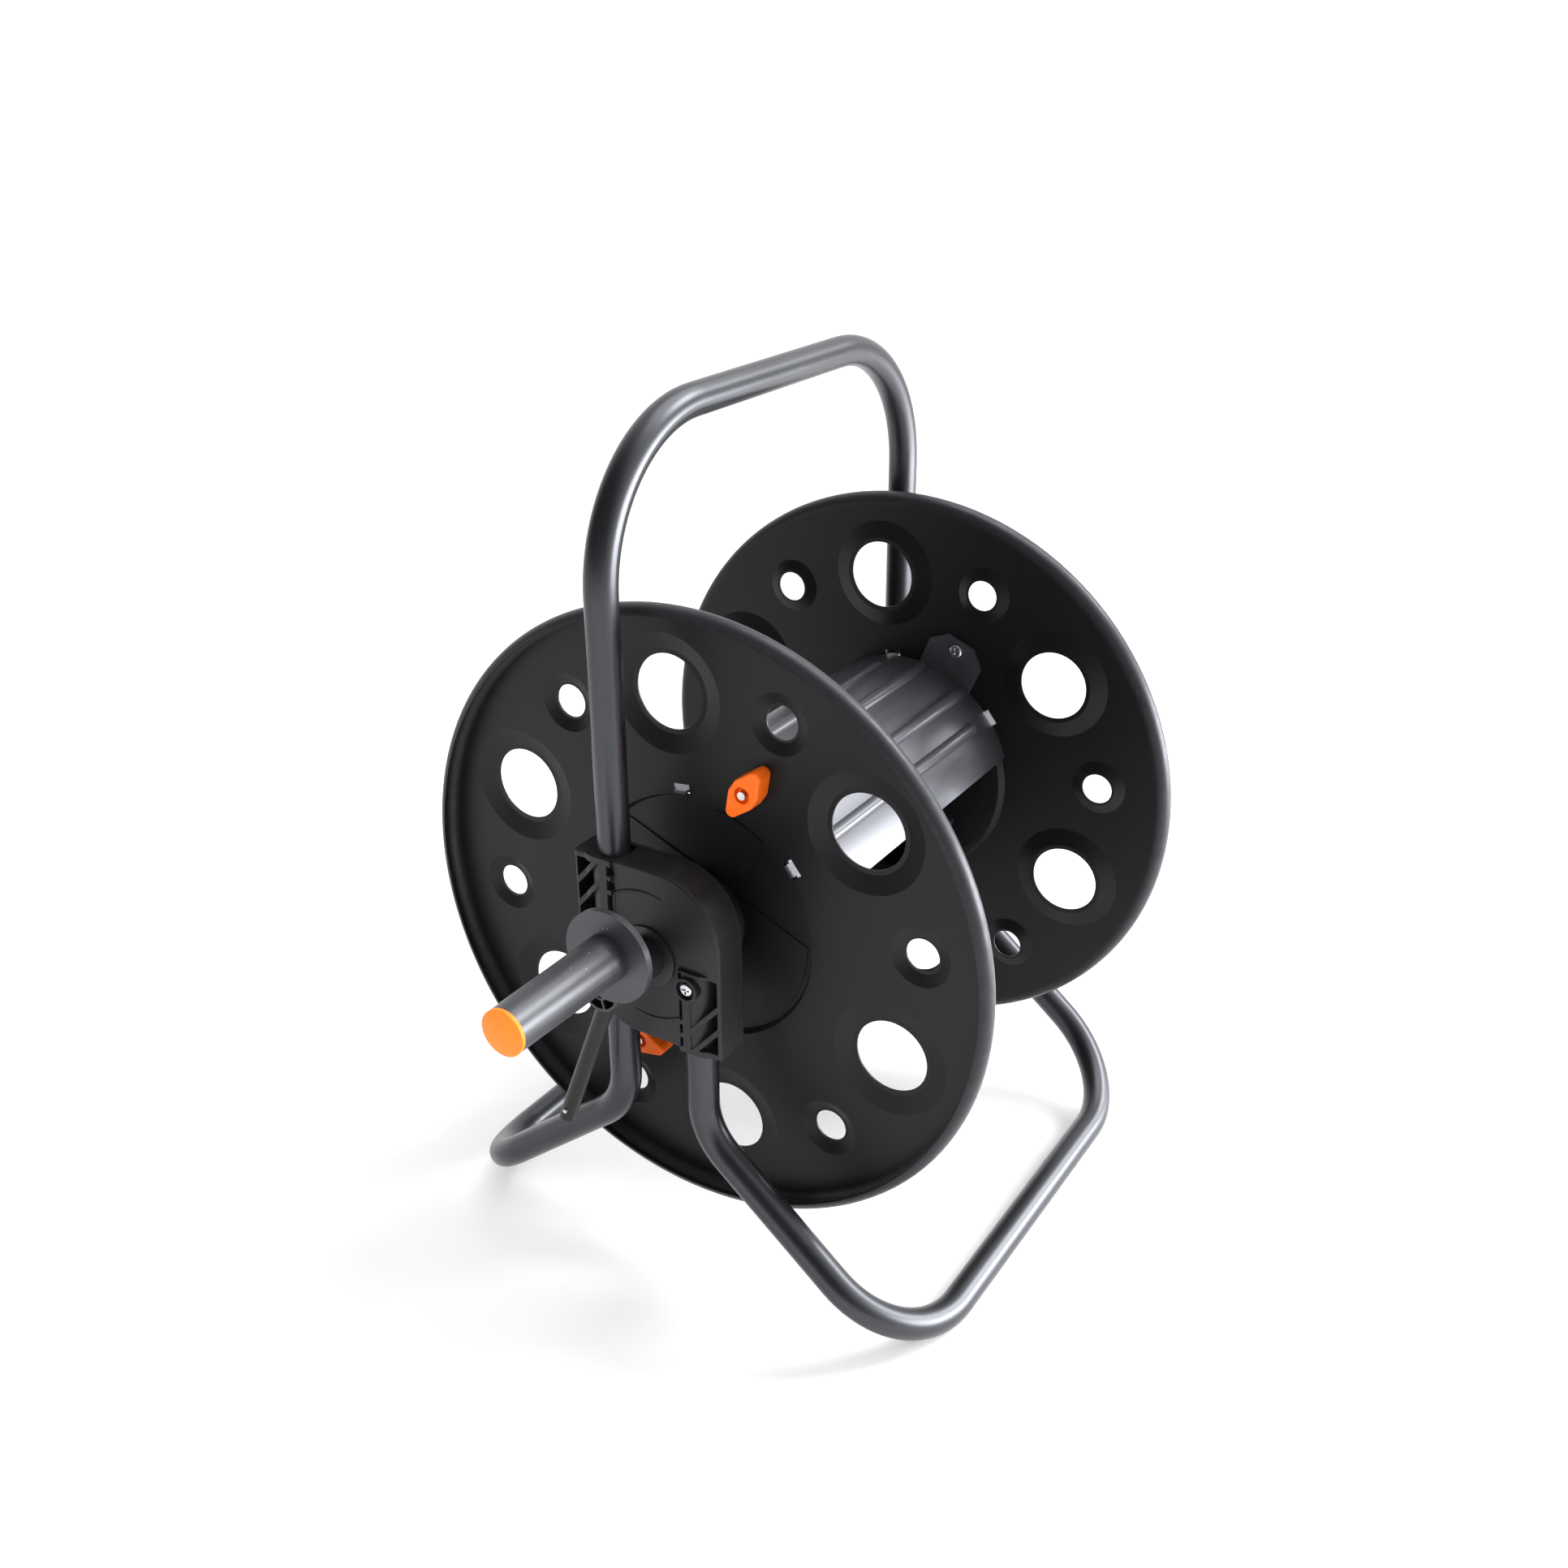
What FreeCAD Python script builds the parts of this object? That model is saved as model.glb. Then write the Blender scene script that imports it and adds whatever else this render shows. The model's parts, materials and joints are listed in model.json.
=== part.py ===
import math
import os
import re

import FreeCAD
import Part
import Sketcher
from FreeCAD import Placement, Rotation, Vector

# A free-standing garden hose reel: three bent steel tubes carry two plastic brackets,
# and a drum between two pressed discs turns in them, wound by a sliding crank.
#
# Every piece is drawn about the reel's own centre: the reel axis is Y, the crank end is -Y,
# "out" is a distance from the middle plane towards an end, and a clock angle is measured
# from +Z towards +X. place() then lifts each piece to the row's frame.

doc = FreeCAD.newDocument("hose_reel")
dims = doc.addObject("Spreadsheet::Sheet", "dims")

# Driving dimensions in millimetres and degrees.
DRIVING = {
    # bent tubes
    "tube_dia": 19, "tube_wall": 1, "tube_out": 166.4, "tube_x": 28.5,
    "handle_top": 292, "handle_bend": 88, "knee_down": 117, "knee_bend": 45,
    "foot_x": 169, "foot_down": 232, "foot_bend": 65,
    "swage_top": 15, "swage_end": 16, "swage_gap": 0.1, "rear_tube_top": 35,
    # pressed discs
    "sheet": 1, "face_out": 126, "rim_bead": 6.8, "rim_r": 187.5, "rim_turn": 82,
    "panels": 2, "over": 1, "wall_slip": 0.58, "spigot_slack": 0.1, "plate_gap": 0.2,
    "spigot_r": 15, "recess_r": 78.2, "recess_deep": 4, "recess_run": 2.2,
    "holes": 6, "hole_clock": -7.5,
    "cross_narrow": 16.6, "cross_broad": 28, "cross_r": 73, "cross_high": 0.8, "cross_gap": 0.4,
    "hole_pitch": 139.5, "hole_r": 22.7, "hole_lip": 2.9, "hole_slope": 10.7, "hole_deep": 3.4,
    "small_pitch": 147.6, "small_r": 10.2, "small_lip": 1.4, "small_slope": 6.8, "small_deep": 3,
    # drum panels
    "drum_r": 81.8, "drum_wall": 2, "panel_clock": 22.7, "panel_half": 50, "panel_gap": 0.1,
    "rib_r": 4.6, "rib_sunk": 1.4, "inner_rib_clock": 11.5, "outer_rib_clock": 28.5,
    "inner_rib": 118, "outer_rib": 100,
    "ear_half": 20.6, "ear_root": 74.2, "ear_shoulder": 100, "ear_top": 110,
    "ear_top_half": 10, "ear_thick": 2.4,
    "span_reach": 100, "tab_clock": 29.5, "tab_wide": 8, "tab_long": 3.4, "tab_root": 2,
    "slot_wide": 11, "slot_tall": 6.4, "slot_past": 3.2,
    # wing nuts and their screws
    "nut_pitch": 102.5, "nut_half": 18, "nut_waist": 8.4, "nut_tip": 3.6, "nut_thick": 12,
    "nut_flank": 4, "nut_shoulder": 15, "nut_tip_r": 3.9, "nut_soft": 1.2, "nut_reach": 16.5,
    "upper_nut_clock": 33, "lower_nut_clock": 102,
    "nut_off": 0.3, "nut_dish_r": 5, "nut_dish_deep": 4.5,
    "screw_r": 2.45, "screw_fit": 0.05, "screw_room": 0.2, "screw_head_r": 4.6, "screw_head": 2.6,
    "head_sunk": 0.2, "head_dome": 1.43, "cross_long": 1.3, "cross_wide": 0.3, "cross_deep": 0.8,
    # brackets
    "bracket_x": 49, "bracket_z": 55, "bracket_in": 157, "bracket_out": 177.2,
    "big_corner": 40, "bracket_skin": 3, "collar_out": 179.6,
    "shell_soft": 1.6, "collar_in": 22, "collar_r": 16, "collar_end": 1,
    "pocket_in": 30, "pocket_out": 47.2, "pocket_floor": 162, "pocket_start": 3, "pocket_end": 51,
    "cover_r": 12.6, "fins": 2, "fin_first": 20.5, "fin_pitch": 15, "fin_lean": 48, "fin_tall": 3,
    "fin_long": 60, "slot_x": 22.9, "slot_gap": 3.6, "slot_start": 2, "slot_long": 31.5,
    "short_slot": 6, "short_slot_pitch": 8.9, "slot_rib": 2.9, "short_slots": 2,
    "core_wide": 30, "core_tall": 22, "core_up": 36,
    "boss_high": 4.5, "boss_deep": 3, "boss_wall": 1.6, "boss_root": 2,
    "bracket_screw_r": 2.2, "bracket_screw_long": 23.8, "bracket_head_r": 4.2,
    "plate_thick": 3, "tube_fit": 0.06, "boss_r": 7.6, "boss_up": 11.5,
    # bearings and hubs
    "journal_r": 12.35, "journal_fit": 0.07, "bush_r": 16, "bush_lip_r": 19, "bush_lip": 1.4,
    "hub_flange_r": 30, "hub_flange": 3.5, "hub_shoulder_r": 17, "hub_spigot": 4,
    "hub_screw_pitch": 23.5, "hub_screw_r": 1.95, "hub_screws": 4, "hub_screw_turn": 45,
    "hub_screw_short": 0.4, "washer_thick": 0.8, "end_play": 0.3,
    # crank
    "hub_end": 221.5, "arm_out": 207, "arm_r": 5, "arm_fit": 0.05, "arm_clock": 21,
    "arm_tail": 116, "arm_throw": 30, "arm_bend": 15, "arm_end": 299, "arm_hole_r": 1.6,
    "stop_pin_r": 1.25, "stop_pin_half": 6.2, "stop_pin_in": 8,
    "hub_mouth": 8, "mouth_r": 10.7, "mouth_ring_r": 5.4, "mouth_ring_bore": 4, "spokes": 5, "spoke": 1.4,
    "hub_core_r": 8, "hub_core_end": 196,
    # grip
    "grip_in": 222.6, "grip_flange_r": 27.4, "grip_flange": 4, "grip_root_r": 13.9,
    "grip_tip_r": 13.1, "grip_end": 308, "grip_room_r": 9, "grip_room": 14, "grip_fit": 0.08,
    "relief_r": 9.6, "relief_in": 236, "relief_out": 284, "push_nut_r": 7.8, "push_nut": 1.5,
    "cap_edge": 2.4, "cap_dome": 4, "cap_plug": 6,
    # water side
    "bore_r": 6, "axle_r": 9, "axle_end": 200, "axle_in": 100, "journal_end": 179,
    "ring_r": 0.8, "ring_first": 186, "ring_second": 191, "clip_at": 196.5, "clip_r": 0.72, "ring_gap": 0.05,
    "elbow_r": 12.4, "elbow_in": 181, "elbow_end": 219, "inlet_out": 208,
    "outlet_in": 81, "outlet_out": 92, "outlet_end": 117.5,
    "neck_r": 9.5, "neck_long": 33, "nipple_collar_r": 11, "nipple_collar": 4,
    "nipple_r": 8, "nipple_long": 13, "nipple_groove_r": 6.6, "nipple_groove": 2.6,
    "nipple_tip_r": 7.6, "nipple_tip": 5, "nipple_bore": 5,
}

# Sizes worked out from the driving ones, as formulas in the same sheet.
DERIVED = {
    "tube_r": "tube_dia / 2",
    "tube_bore": "tube_r - tube_wall",
    "swage_r": "tube_bore - swage_gap",
    "face_in": "face_out - sheet",
    "floor_out": "face_out - recess_deep",
    "floor_in": "floor_out - sheet",
    "floor_r": "recess_r - recess_run",
    "wall_r": "recess_r + sheet * (2 - wall_slip)",
    "wall_floor_r": "floor_r + sheet * wall_slip",
    "bead_out": "face_in + rim_bead",
    "bead_inner": "rim_bead - sheet",
    "lip_r": "rim_r + rim_bead * cos(rim_turn * 1deg)",
    "lip_out": "bead_out + rim_bead * sin(rim_turn * 1deg)",
    "lip_inner_r": "rim_r + bead_inner * cos(rim_turn * 1deg)",
    "lip_inner_out": "bead_out + bead_inner * sin(rim_turn * 1deg)",
    "hole_flat_r": "hole_r + hole_lip",
    "hole_dish_r": "hole_flat_r + hole_slope",
    "small_flat_r": "small_r + small_lip",
    "small_dish_r": "small_flat_r + small_slope",
    "hole_floor_out": "face_out - hole_deep",
    "hole_floor_in": "hole_floor_out - sheet",
    "small_floor_out": "face_out - small_deep",
    "small_floor_in": "small_floor_out - sheet",
    "drum_bore": "drum_r - drum_wall",
    "panel_end": "face_in - panel_gap",
    "ear_in": "panel_end - ear_thick",
    "span_x": "span_reach * sin(panel_half * 1deg)",
    "span_z": "span_reach * cos(panel_half * 1deg)",
    "span_top": "drum_r + rib_r * 2",
    "nut_in": "face_out + nut_off",
    "nut_out": "nut_in + nut_thick",
    "plate_out": "bracket_in - plate_gap",
    "plate_in": "plate_out - plate_thick",
    "shoulder_out": "plate_in - washer_thick - end_play * 2",
    "flange_out": "floor_out + hub_flange",
    "grip_floor": "grip_end - grip_room",
    "grip_bore": "arm_r + grip_fit",
    "grip_flange_out": "grip_in + grip_flange",
    "cap_r": "grip_tip_r",
    "cap_plug_r": "grip_room_r - grip_fit",
    "cap_in": "grip_end - cap_plug",
    "cap_edge_out": "grip_end + cap_edge",
    "cap_top": "grip_end + cap_dome",
    "cap_dome_r": "(cap_r ^ 2 + (cap_top - cap_edge_out) ^ 2) / (cap_top - cap_edge_out) / 2",
    "spigot_fit_r": "spigot_r - spigot_slack",
    "spigot_in": "floor_out - hub_spigot",
    "bush_bore": "journal_r + journal_fit",
    "bush_lip_out": "bracket_out + bush_lip",
    "washer_in": "shoulder_out + end_play",
    "washer_out": "washer_in + washer_thick",
    "ring_floor_r": "axle_r - ring_r * 2",
    "ring_first_in": "ring_first - ring_r - ring_gap",
    "ring_first_out": "ring_first + ring_r + ring_gap",
    "ring_second_in": "ring_second - ring_r - ring_gap",
    "ring_second_out": "ring_second + ring_r + ring_gap",
    "clip_floor_r": "axle_r - clip_r - ring_gap",
    "clip_roof_r": "axle_r + clip_r + ring_gap",
    "clip_in": "clip_at - clip_r - ring_gap",
    "clip_out": "clip_at + clip_r + ring_gap",
    "turn_x": "bracket_x - big_corner",
    "turn_z": "bracket_z - big_corner",
}

for row, (alias, value) in enumerate(DRIVING.items(), start=1):
    dims.set(f"A{row}", alias)
    dims.set(f"B{row}", str(value))
    dims.setAlias(f"B{row}", alias)
for row, (alias, formula) in enumerate(DERIVED.items(), start=len(DRIVING) + 1):
    dims.set(f"A{row}", alias)
    dims.set(f"B{row}", "=" + formula)
    dims.setAlias(f"B{row}", alias)
doc.recompute()
D = {alias: float(dims.get(alias)) for alias in [*DRIVING, *DERIVED]}

AXIS_HEIGHT = D["foot_down"] + D["tube_r"]
CRANK_END = D["grip_end"] + D["cap_dome"]
WATER_END = D["elbow_end"]
REEL_CENTRE = Vector(0, (CRANK_END - WATER_END) / 2, AXIS_HEIGHT)

OUTWARD = Rotation(Vector(1, 0, 0), 90)      # turns a primitive's +Z to point out of the crank end
UPRIGHT = Rotation()
END_FOR_END = Rotation(Vector(0, 0, 1), 180)
CLOSE = 0.01
nodes = []


def in_sheet(text):
    """The same expression with each alias pointing at the sheet."""
    return re.sub(r"[a-z]\w*", r"dims.\g<0>", text)


def bind(thing, **sizes):
    """Bind a piece's properties to expressions in the sheet's aliases."""
    for name, text in sizes.items():
        thing.setExpression(name, in_sheet(text))
    return thing


def clock(angle, radius, out=0.0):
    """The point at a clock angle and radius about the reel axis, towards the crank end."""
    turn = math.radians(angle)
    return Vector(radius * math.sin(turn), -out, radius * math.cos(turn))


def ring_clocks(first, count):
    """Clock angles of a number of pieces spaced evenly about the reel axis."""
    return [first + 360 / count * index for index in range(int(count))]


def clock_turn(angle):
    """The rotation about the reel axis that carries +Z to a clock angle."""
    return Rotation(Vector(0, 1, 0), angle)


def cylinder(name, radius, length, at=Vector(), turn=OUTWARD):
    rod = bind(doc.addObject("Part::Cylinder", name), Radius=radius, Height=length)
    rod.Placement = Placement(at, turn)
    return rod


def block(name, wide, deep, tall, centre, turn=UPRIGHT):
    """A box whose own middle sits at centre."""
    box = bind(doc.addObject("Part::Box", name), Length=wide, Width=deep, Height=tall)
    doc.recompute()
    middle = Vector(box.Length.Value, box.Width.Value, box.Height.Value) / 2
    box.Placement = Placement(centre - turn.multVec(middle), turn)
    return box


def fuse(name, pieces):
    whole = doc.addObject("Part::MultiFuse", name)
    whole.Shapes = pieces
    whole.Refine = True
    return whole


def group(name, pieces):
    """Separate solids kept together in one node."""
    several = doc.addObject("Part::Compound", name)
    several.Links = pieces
    return several


def cut(name, base, tools):
    left = doc.addObject("Part::Cut", name)
    left.Base = base
    left.Tool = tools[0] if len(tools) == 1 else fuse(name + "_tools", tools)
    left.Refine = True
    return left


def place(piece, label):
    """Finish a piece: name its node and lift it from the reel's centre to the row's frame."""
    piece.Label = label
    assert piece.Label == label, label
    piece.Placement = Placement(REEL_CENTRE, UPRIGHT) * piece.Placement
    nodes.append(piece)
    return piece


def other_end(piece, label):
    """The same moulding, handed for the water end of the reel."""
    twin = doc.addObject("Part::Mirroring", label)
    twin.Source = piece
    twin.Base = REEL_CENTRE
    twin.Normal = Vector(0, 1, 0)
    twin.Label = label
    assert twin.Label == label, label
    nodes.append(twin)
    return twin


# ---- sketches and solid features -------------------------------------------------------------

def origin_plane(body, role):
    for feature in body.Origin.OriginFeatures:
        if feature.Role == role:
            return feature
    raise ValueError(role)


def new_sketch(body, name, plane, lift=0.0, spin=Rotation()):
    sketch = body.newObject("Sketcher::SketchObject", name)
    sketch.AttachmentSupport = [(origin_plane(body, plane), "")]
    sketch.MapMode = "FlatFace"
    sketch.AttachmentOffset = Placement(spin.multVec(Vector(0, 0, lift)), spin)
    return sketch


def value(text):
    """The number behind an alias, which may carry a minus sign."""
    if text == "0":
        return 0.0
    return -D[text[1:]] if text.startswith("-") else D[text]


def pin_point(sketch, edge, end, across, up):
    """Hold one point of a sketch at two aliases."""
    for kind, text, axis in (("DistanceX", across, -2), ("DistanceY", up, -1)):
        if text == "0":
            sketch.addConstraint(Sketcher.Constraint("PointOnObject", edge, end, axis))
            continue
        index = sketch.addConstraint(Sketcher.Constraint(kind, -1, 1, edge, end, value(text)))
        sketch.setExpression(f"Constraints[{index}]", in_sheet(text))


def outline(sketch, corners):
    """A closed outline through corners given as aliases. A third item makes the side that
    leaves a corner an arc of that radius, turning left, or right where it has a minus sign."""
    points = [Vector(value(corner[0]), value(corner[1]), 0) for corner in corners]
    ends = []
    for index, corner in enumerate(corners):
        start, stop = points[index], points[(index + 1) % len(points)]
        if len(corner) == 2:
            edge = sketch.addGeometry(Part.LineSegment(start, stop))
            ends.append((edge, 1, 2))
            continue
        radius = abs(value(corner[2]))
        left = not corner[2].startswith("-")
        chord = stop - start
        side = Vector(-chord.y, chord.x, 0).normalize() * (1 if left else -1)
        reach = math.sqrt(max(radius ** 2 - chord.Length ** 2 / 4, 0))
        centre = (start + stop) / 2 + side * reach
        first, last = (start, stop) if left else (stop, start)
        angles = [math.atan2(p.y - centre.y, p.x - centre.x) for p in (first, last)]
        ring = Part.Circle(centre, Vector(0, 0, 1), radius)
        edge = sketch.addGeometry(Part.ArcOfCircle(ring, angles[0], angles[1]))
        ends.append((edge, 1, 2) if left else (edge, 2, 1))
        hold = sketch.addConstraint(Sketcher.Constraint("Radius", edge, radius))
        sketch.setExpression(f"Constraints[{hold}]", in_sheet(corner[2].lstrip("-")))
    for index, corner in enumerate(corners):
        edge, begin, _ = ends[index]
        before, _, finish = ends[index - 1]
        sketch.addConstraint(Sketcher.Constraint("Coincident", before, finish, edge, begin))
        pin_point(sketch, edge, begin, corner[0], corner[1])


def turned(label, corners):
    """A body turned about the reel axis, from corners given as radius and -out."""
    body = doc.addObject("PartDesign::Body", label)
    sketch = new_sketch(body, label + "_profile", "XY_Plane")
    outline(sketch, corners)
    spin = body.newObject("PartDesign::Revolution", label + "_turn")
    spin.Profile = sketch
    spin.ReferenceAxis = (sketch, ["V_Axis"])
    spin.Angle = 360
    doc.recompute()
    return body


def copies(name, source, places):
    """The same solid at several places, as one shape."""
    several = doc.addObject("Part::Feature", name)
    solids = []
    for spot in places:
        solid = source.Shape.copy()
        solid.Placement = spot * solid.Placement
        solids.append(solid)
    several.Shape = Part.makeCompound(solids)
    return several


# ---- bent tubes ------------------------------------------------------------------------------

def bent_path(name, points, radii):
    """Straight runs through the points, each inner corner rounded by its own radius."""
    edges = []
    start = points[0]
    for before, corner, after, radius in zip(points, points[1:], points[2:], radii):
        arrive = (corner - before).normalize()
        leave = (after - corner).normalize()
        half_turn = arrive.getAngle(leave) / 2
        setback = radius * math.tan(half_turn)
        inward = (leave - arrive).normalize()
        middle = corner + inward * (radius / math.cos(half_turn) - radius)
        bend_start = corner - arrive * setback
        bend_end = corner + leave * setback
        edges.append(Part.makeLine(start, bend_start))
        edges.append(Part.Arc(bend_start, middle, bend_end).toShape())
        start = bend_end
    edges.append(Part.makeLine(start, points[-1]))
    path = doc.addObject("Part::Feature", name)
    path.Shape = Part.Wire(edges)
    return path


def sweep(name, path, radius, start, direction):
    """A round bar of the given radius along a path."""
    ring = bind(doc.addObject("Part::Circle", name + "_ring"), Radius=radius)
    ring.Placement = Placement(start, Rotation(Vector(0, 0, 1), direction))
    bar = doc.addObject("Part::Sweep", name)
    bar.Sections = [ring]
    bar.Spine = (path, [f"Edge{index + 1}" for index in range(len(path.Shape.Edges))])
    bar.Solid = True
    bar.Frenet = False
    return bar


def screw_way(name, side):
    """The hole for the bracket screws through both legs on one side of the frame."""
    return cylinder(name + "_screw_way", "bracket_screw_r + screw_room", "(tube_out + tube_dia) * 2",
                    Vector(side * D["tube_x"], D["tube_out"] + D["tube_dia"], -side * D["boss_up"]))


def bent_tube(label, points, radii):
    """A steel tube along a bent path."""
    path = bent_path(label + "_path", points, radii)
    run = points[1] - points[0]
    skin = sweep(label + "_skin", path, "tube_r", points[0], run)
    hollow = sweep(label + "_hollow", path, "tube_bore", points[0], run)
    return cut(label, skin, [hollow])


def leg_points(side, top):
    """From inside the crank-end bracket down one pair of legs, across the foot and back up."""
    near = [Vector(side * D["tube_x"], -D["tube_out"], top),
            Vector(side * D["tube_x"], -D["tube_out"], -D["knee_down"]),
            Vector(side * D["foot_x"], -D["tube_out"], -D["foot_down"])]
    far = [Vector(point.x, -point.y, point.z) for point in reversed(near)]
    return near + far


def handle_tube():
    """An upright hoop whose two reduced ends plug into the front foot tube."""
    plugs, bores = [], []
    for end, side in (("crank", -1), ("water", 1)):
        at = Vector(-D["tube_x"], side * D["tube_out"], -D["swage_end"])
        neck = at + Vector(0, 0, D["swage_end"] + D["swage_top"])
        plugs.append(cylinder(f"swage_{end}", "swage_r", "swage_top + swage_end + over", at, UPRIGHT))
        plugs.append(cylinder(f"neck_{end}", "tube_bore + tube_wall / 2", "tube_wall", neck, UPRIGHT))
        bores.append(cylinder(f"swage_bore_{end}", "swage_r - tube_wall",
                              "swage_top + swage_end + over * 2", at, UPRIGHT))
    foot = Vector(-D["tube_x"], -D["tube_out"], D["swage_top"])
    corner = Vector(-D["tube_x"], -D["tube_out"], D["handle_top"])
    points = [foot, corner, Vector(corner.x, -corner.y, corner.z), Vector(foot.x, -foot.y, foot.z)]
    hoop = bent_tube("hoop", points, [D["handle_bend"]] * 2)
    return cut("handle", fuse("swaged_hoop", [hoop, *plugs]), [*bores, screw_way("handle", -1)])


def foot_tube(label, side, top):
    bends = [D["knee_bend"], D["foot_bend"], D["foot_bend"], D["knee_bend"]]
    return cut(label, bent_tube(label + "_blank", leg_points(side, top), bends), [screw_way(label, side)])


# ---- pressed discs ---------------------------------------------------------------------------

def dishes(size, clocks):
    """One pressed dish for each hole of a ring, and the round gaps they fill in the sheet."""
    dish = turned(size + "_dish", [
        (size + "_r", "-" + size + "_floor_out"),
        (size + "_flat_r", "-" + size + "_floor_out"),
        (size + "_dish_r", "-face_out"),
        (size + "_dish_r", "-face_in"),
        (size + "_flat_r", "-" + size + "_floor_in"),
        (size + "_r", "-" + size + "_floor_in"),
    ])
    places = [Placement(clock(angle, D[size + "_pitch"]), UPRIGHT) for angle in clocks]
    gaps = [cylinder(f"{size}_gap_{angle:.0f}", size + "_dish_r", "sheet + over * 2",
                     clock(angle, D[size + "_pitch"], D["face_in"] - D["over"])) for angle in clocks]
    return copies(size + "_dishes", dish, places), gaps


def panel_clocks():
    return ring_clocks(D["panel_clock"], D["panels"])


def hub_screw_clocks():
    return ring_clocks(D["panel_clock"] + D["hub_screw_turn"], D["hub_screws"])


def cross(name, out, depth, inset):
    """A plate of two crossed bands round the hub, its edges drawn in by inset."""
    bands = []
    for half, angle in (("cross_narrow", D["panel_clock"]), ("cross_broad", D["panel_clock"] + 90)):
        bands.append(block(f"{name}_{half}", f"({half} - {inset}) * 2", depth, "cross_r * 2",
                           clock(0, 0, out + D[depth] / 2), clock_turn(angle)))
    plate_round = doc.addObject("Part::Common", name + "_round")
    plate_round.Base = fuse(name + "_bands", bands)
    plate_round.Tool = cylinder(name + "_end", f"cross_r - {inset}", "recess_deep * 3",
                                clock(0, 0, out - D["recess_deep"]))
    hub_room = cylinder(name + "_hub_room", f"hub_flange_r + cross_gap + {inset}", "recess_deep * 3",
                        clock(0, 0, out - D["recess_deep"]))
    return cut(name, plate_round, [hub_room])


def disc(label):
    """A pressed sheet disc: rolled rim, recessed centre and two alternating rings of dished holes."""
    sheet = turned(label + "_sheet", [
        ("spigot_r", "-floor_out"),
        ("floor_r", "-floor_out"),
        ("recess_r", "-face_out"),
        ("rim_r", "-face_out", "-bead_inner"),
        ("lip_inner_r", "-lip_inner_out"),
        ("lip_r", "-lip_out", "rim_bead"),
        ("rim_r", "-face_in"),
        ("wall_r", "-face_in"),
        ("wall_floor_r", "-floor_in"),
        ("spigot_r", "-floor_in"),
    ])
    large_dishes, large_gaps = dishes("hole", ring_clocks(D["hole_clock"], D["holes"]))
    between = D["hole_clock"] + 180 / D["holes"]
    small_dishes, small_gaps = dishes("small", ring_clocks(between, D["holes"]))
    pierced = cut(label + "_pierced", sheet, large_gaps + small_gaps)
    raised = cross(label + "_cross", D["floor_out"], "cross_high", "0")
    pressed = fuse(label + "_pressed", [pierced, large_dishes, small_dishes, raised])
    openings = [cross(label + "_cross_back", D["floor_in"], "cross_high", "sheet")]
    slot_pitch = D["drum_r"] + D["slot_past"] - D["slot_tall"] / 2
    for panel in panel_clocks():
        openings.append(cylinder(f"ear_hole_{panel:.0f}", "screw_r + screw_room", "sheet + over * 2",
                                 clock(panel, D["nut_pitch"], D["face_in"] - D["over"])))
        for angle in (panel - D["tab_clock"], panel + D["tab_clock"]):
            openings.append(block(f"tab_slot_{angle:.0f}", "slot_wide", "recess_deep * 3", "slot_tall",
                                  clock(angle, slot_pitch, D["floor_out"]), clock_turn(angle)))
    for angle in hub_screw_clocks():
        openings.append(cylinder(f"hub_screw_hole_{angle:.0f}", "hub_screw_r + screw_room",
                                 "sheet + over * 2",
                                 clock(angle, D["hub_screw_pitch"], D["floor_in"] - D["over"])))
    return cut(label, pressed, openings)


# ---- drum ------------------------------------------------------------------------------------

def rib(name, angle, half):
    """A half-round bar along the drum's skin, with a round tip at each end."""
    radius = D["drum_r"] - D["rib_sunk"]
    pieces = [cylinder(name, "rib_r", half + " * 2", clock(angle, radius, -D[half]))]
    for side in (-1, 1):
        tip = bind(doc.addObject("Part::Sphere", f"{name}_tip{side}"), Radius="rib_r")
        tip.Placement = Placement(clock(angle, radius, side * D[half]), UPRIGHT)
        pieces.append(tip)
    return pieces


def drum_span(label):
    """The wedge of the whole drum that one panel fills."""
    wedge = doc.addObject("PartDesign::Body", label + "_span")
    sketch = new_sketch(wedge, label + "_span_outline", "XZ_Plane")
    outline(sketch, [("0", "0"), ("-span_x", "span_z"), ("-span_x", "span_top"),
                     ("span_x", "span_top"), ("span_x", "span_z")])
    pad = wedge.newObject("PartDesign::Pad", label + "_span_pad")
    pad.Profile = sketch
    bind(pad, Length="panel_end * 2")
    pad.Midplane = True
    doc.recompute()
    return wedge


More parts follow.
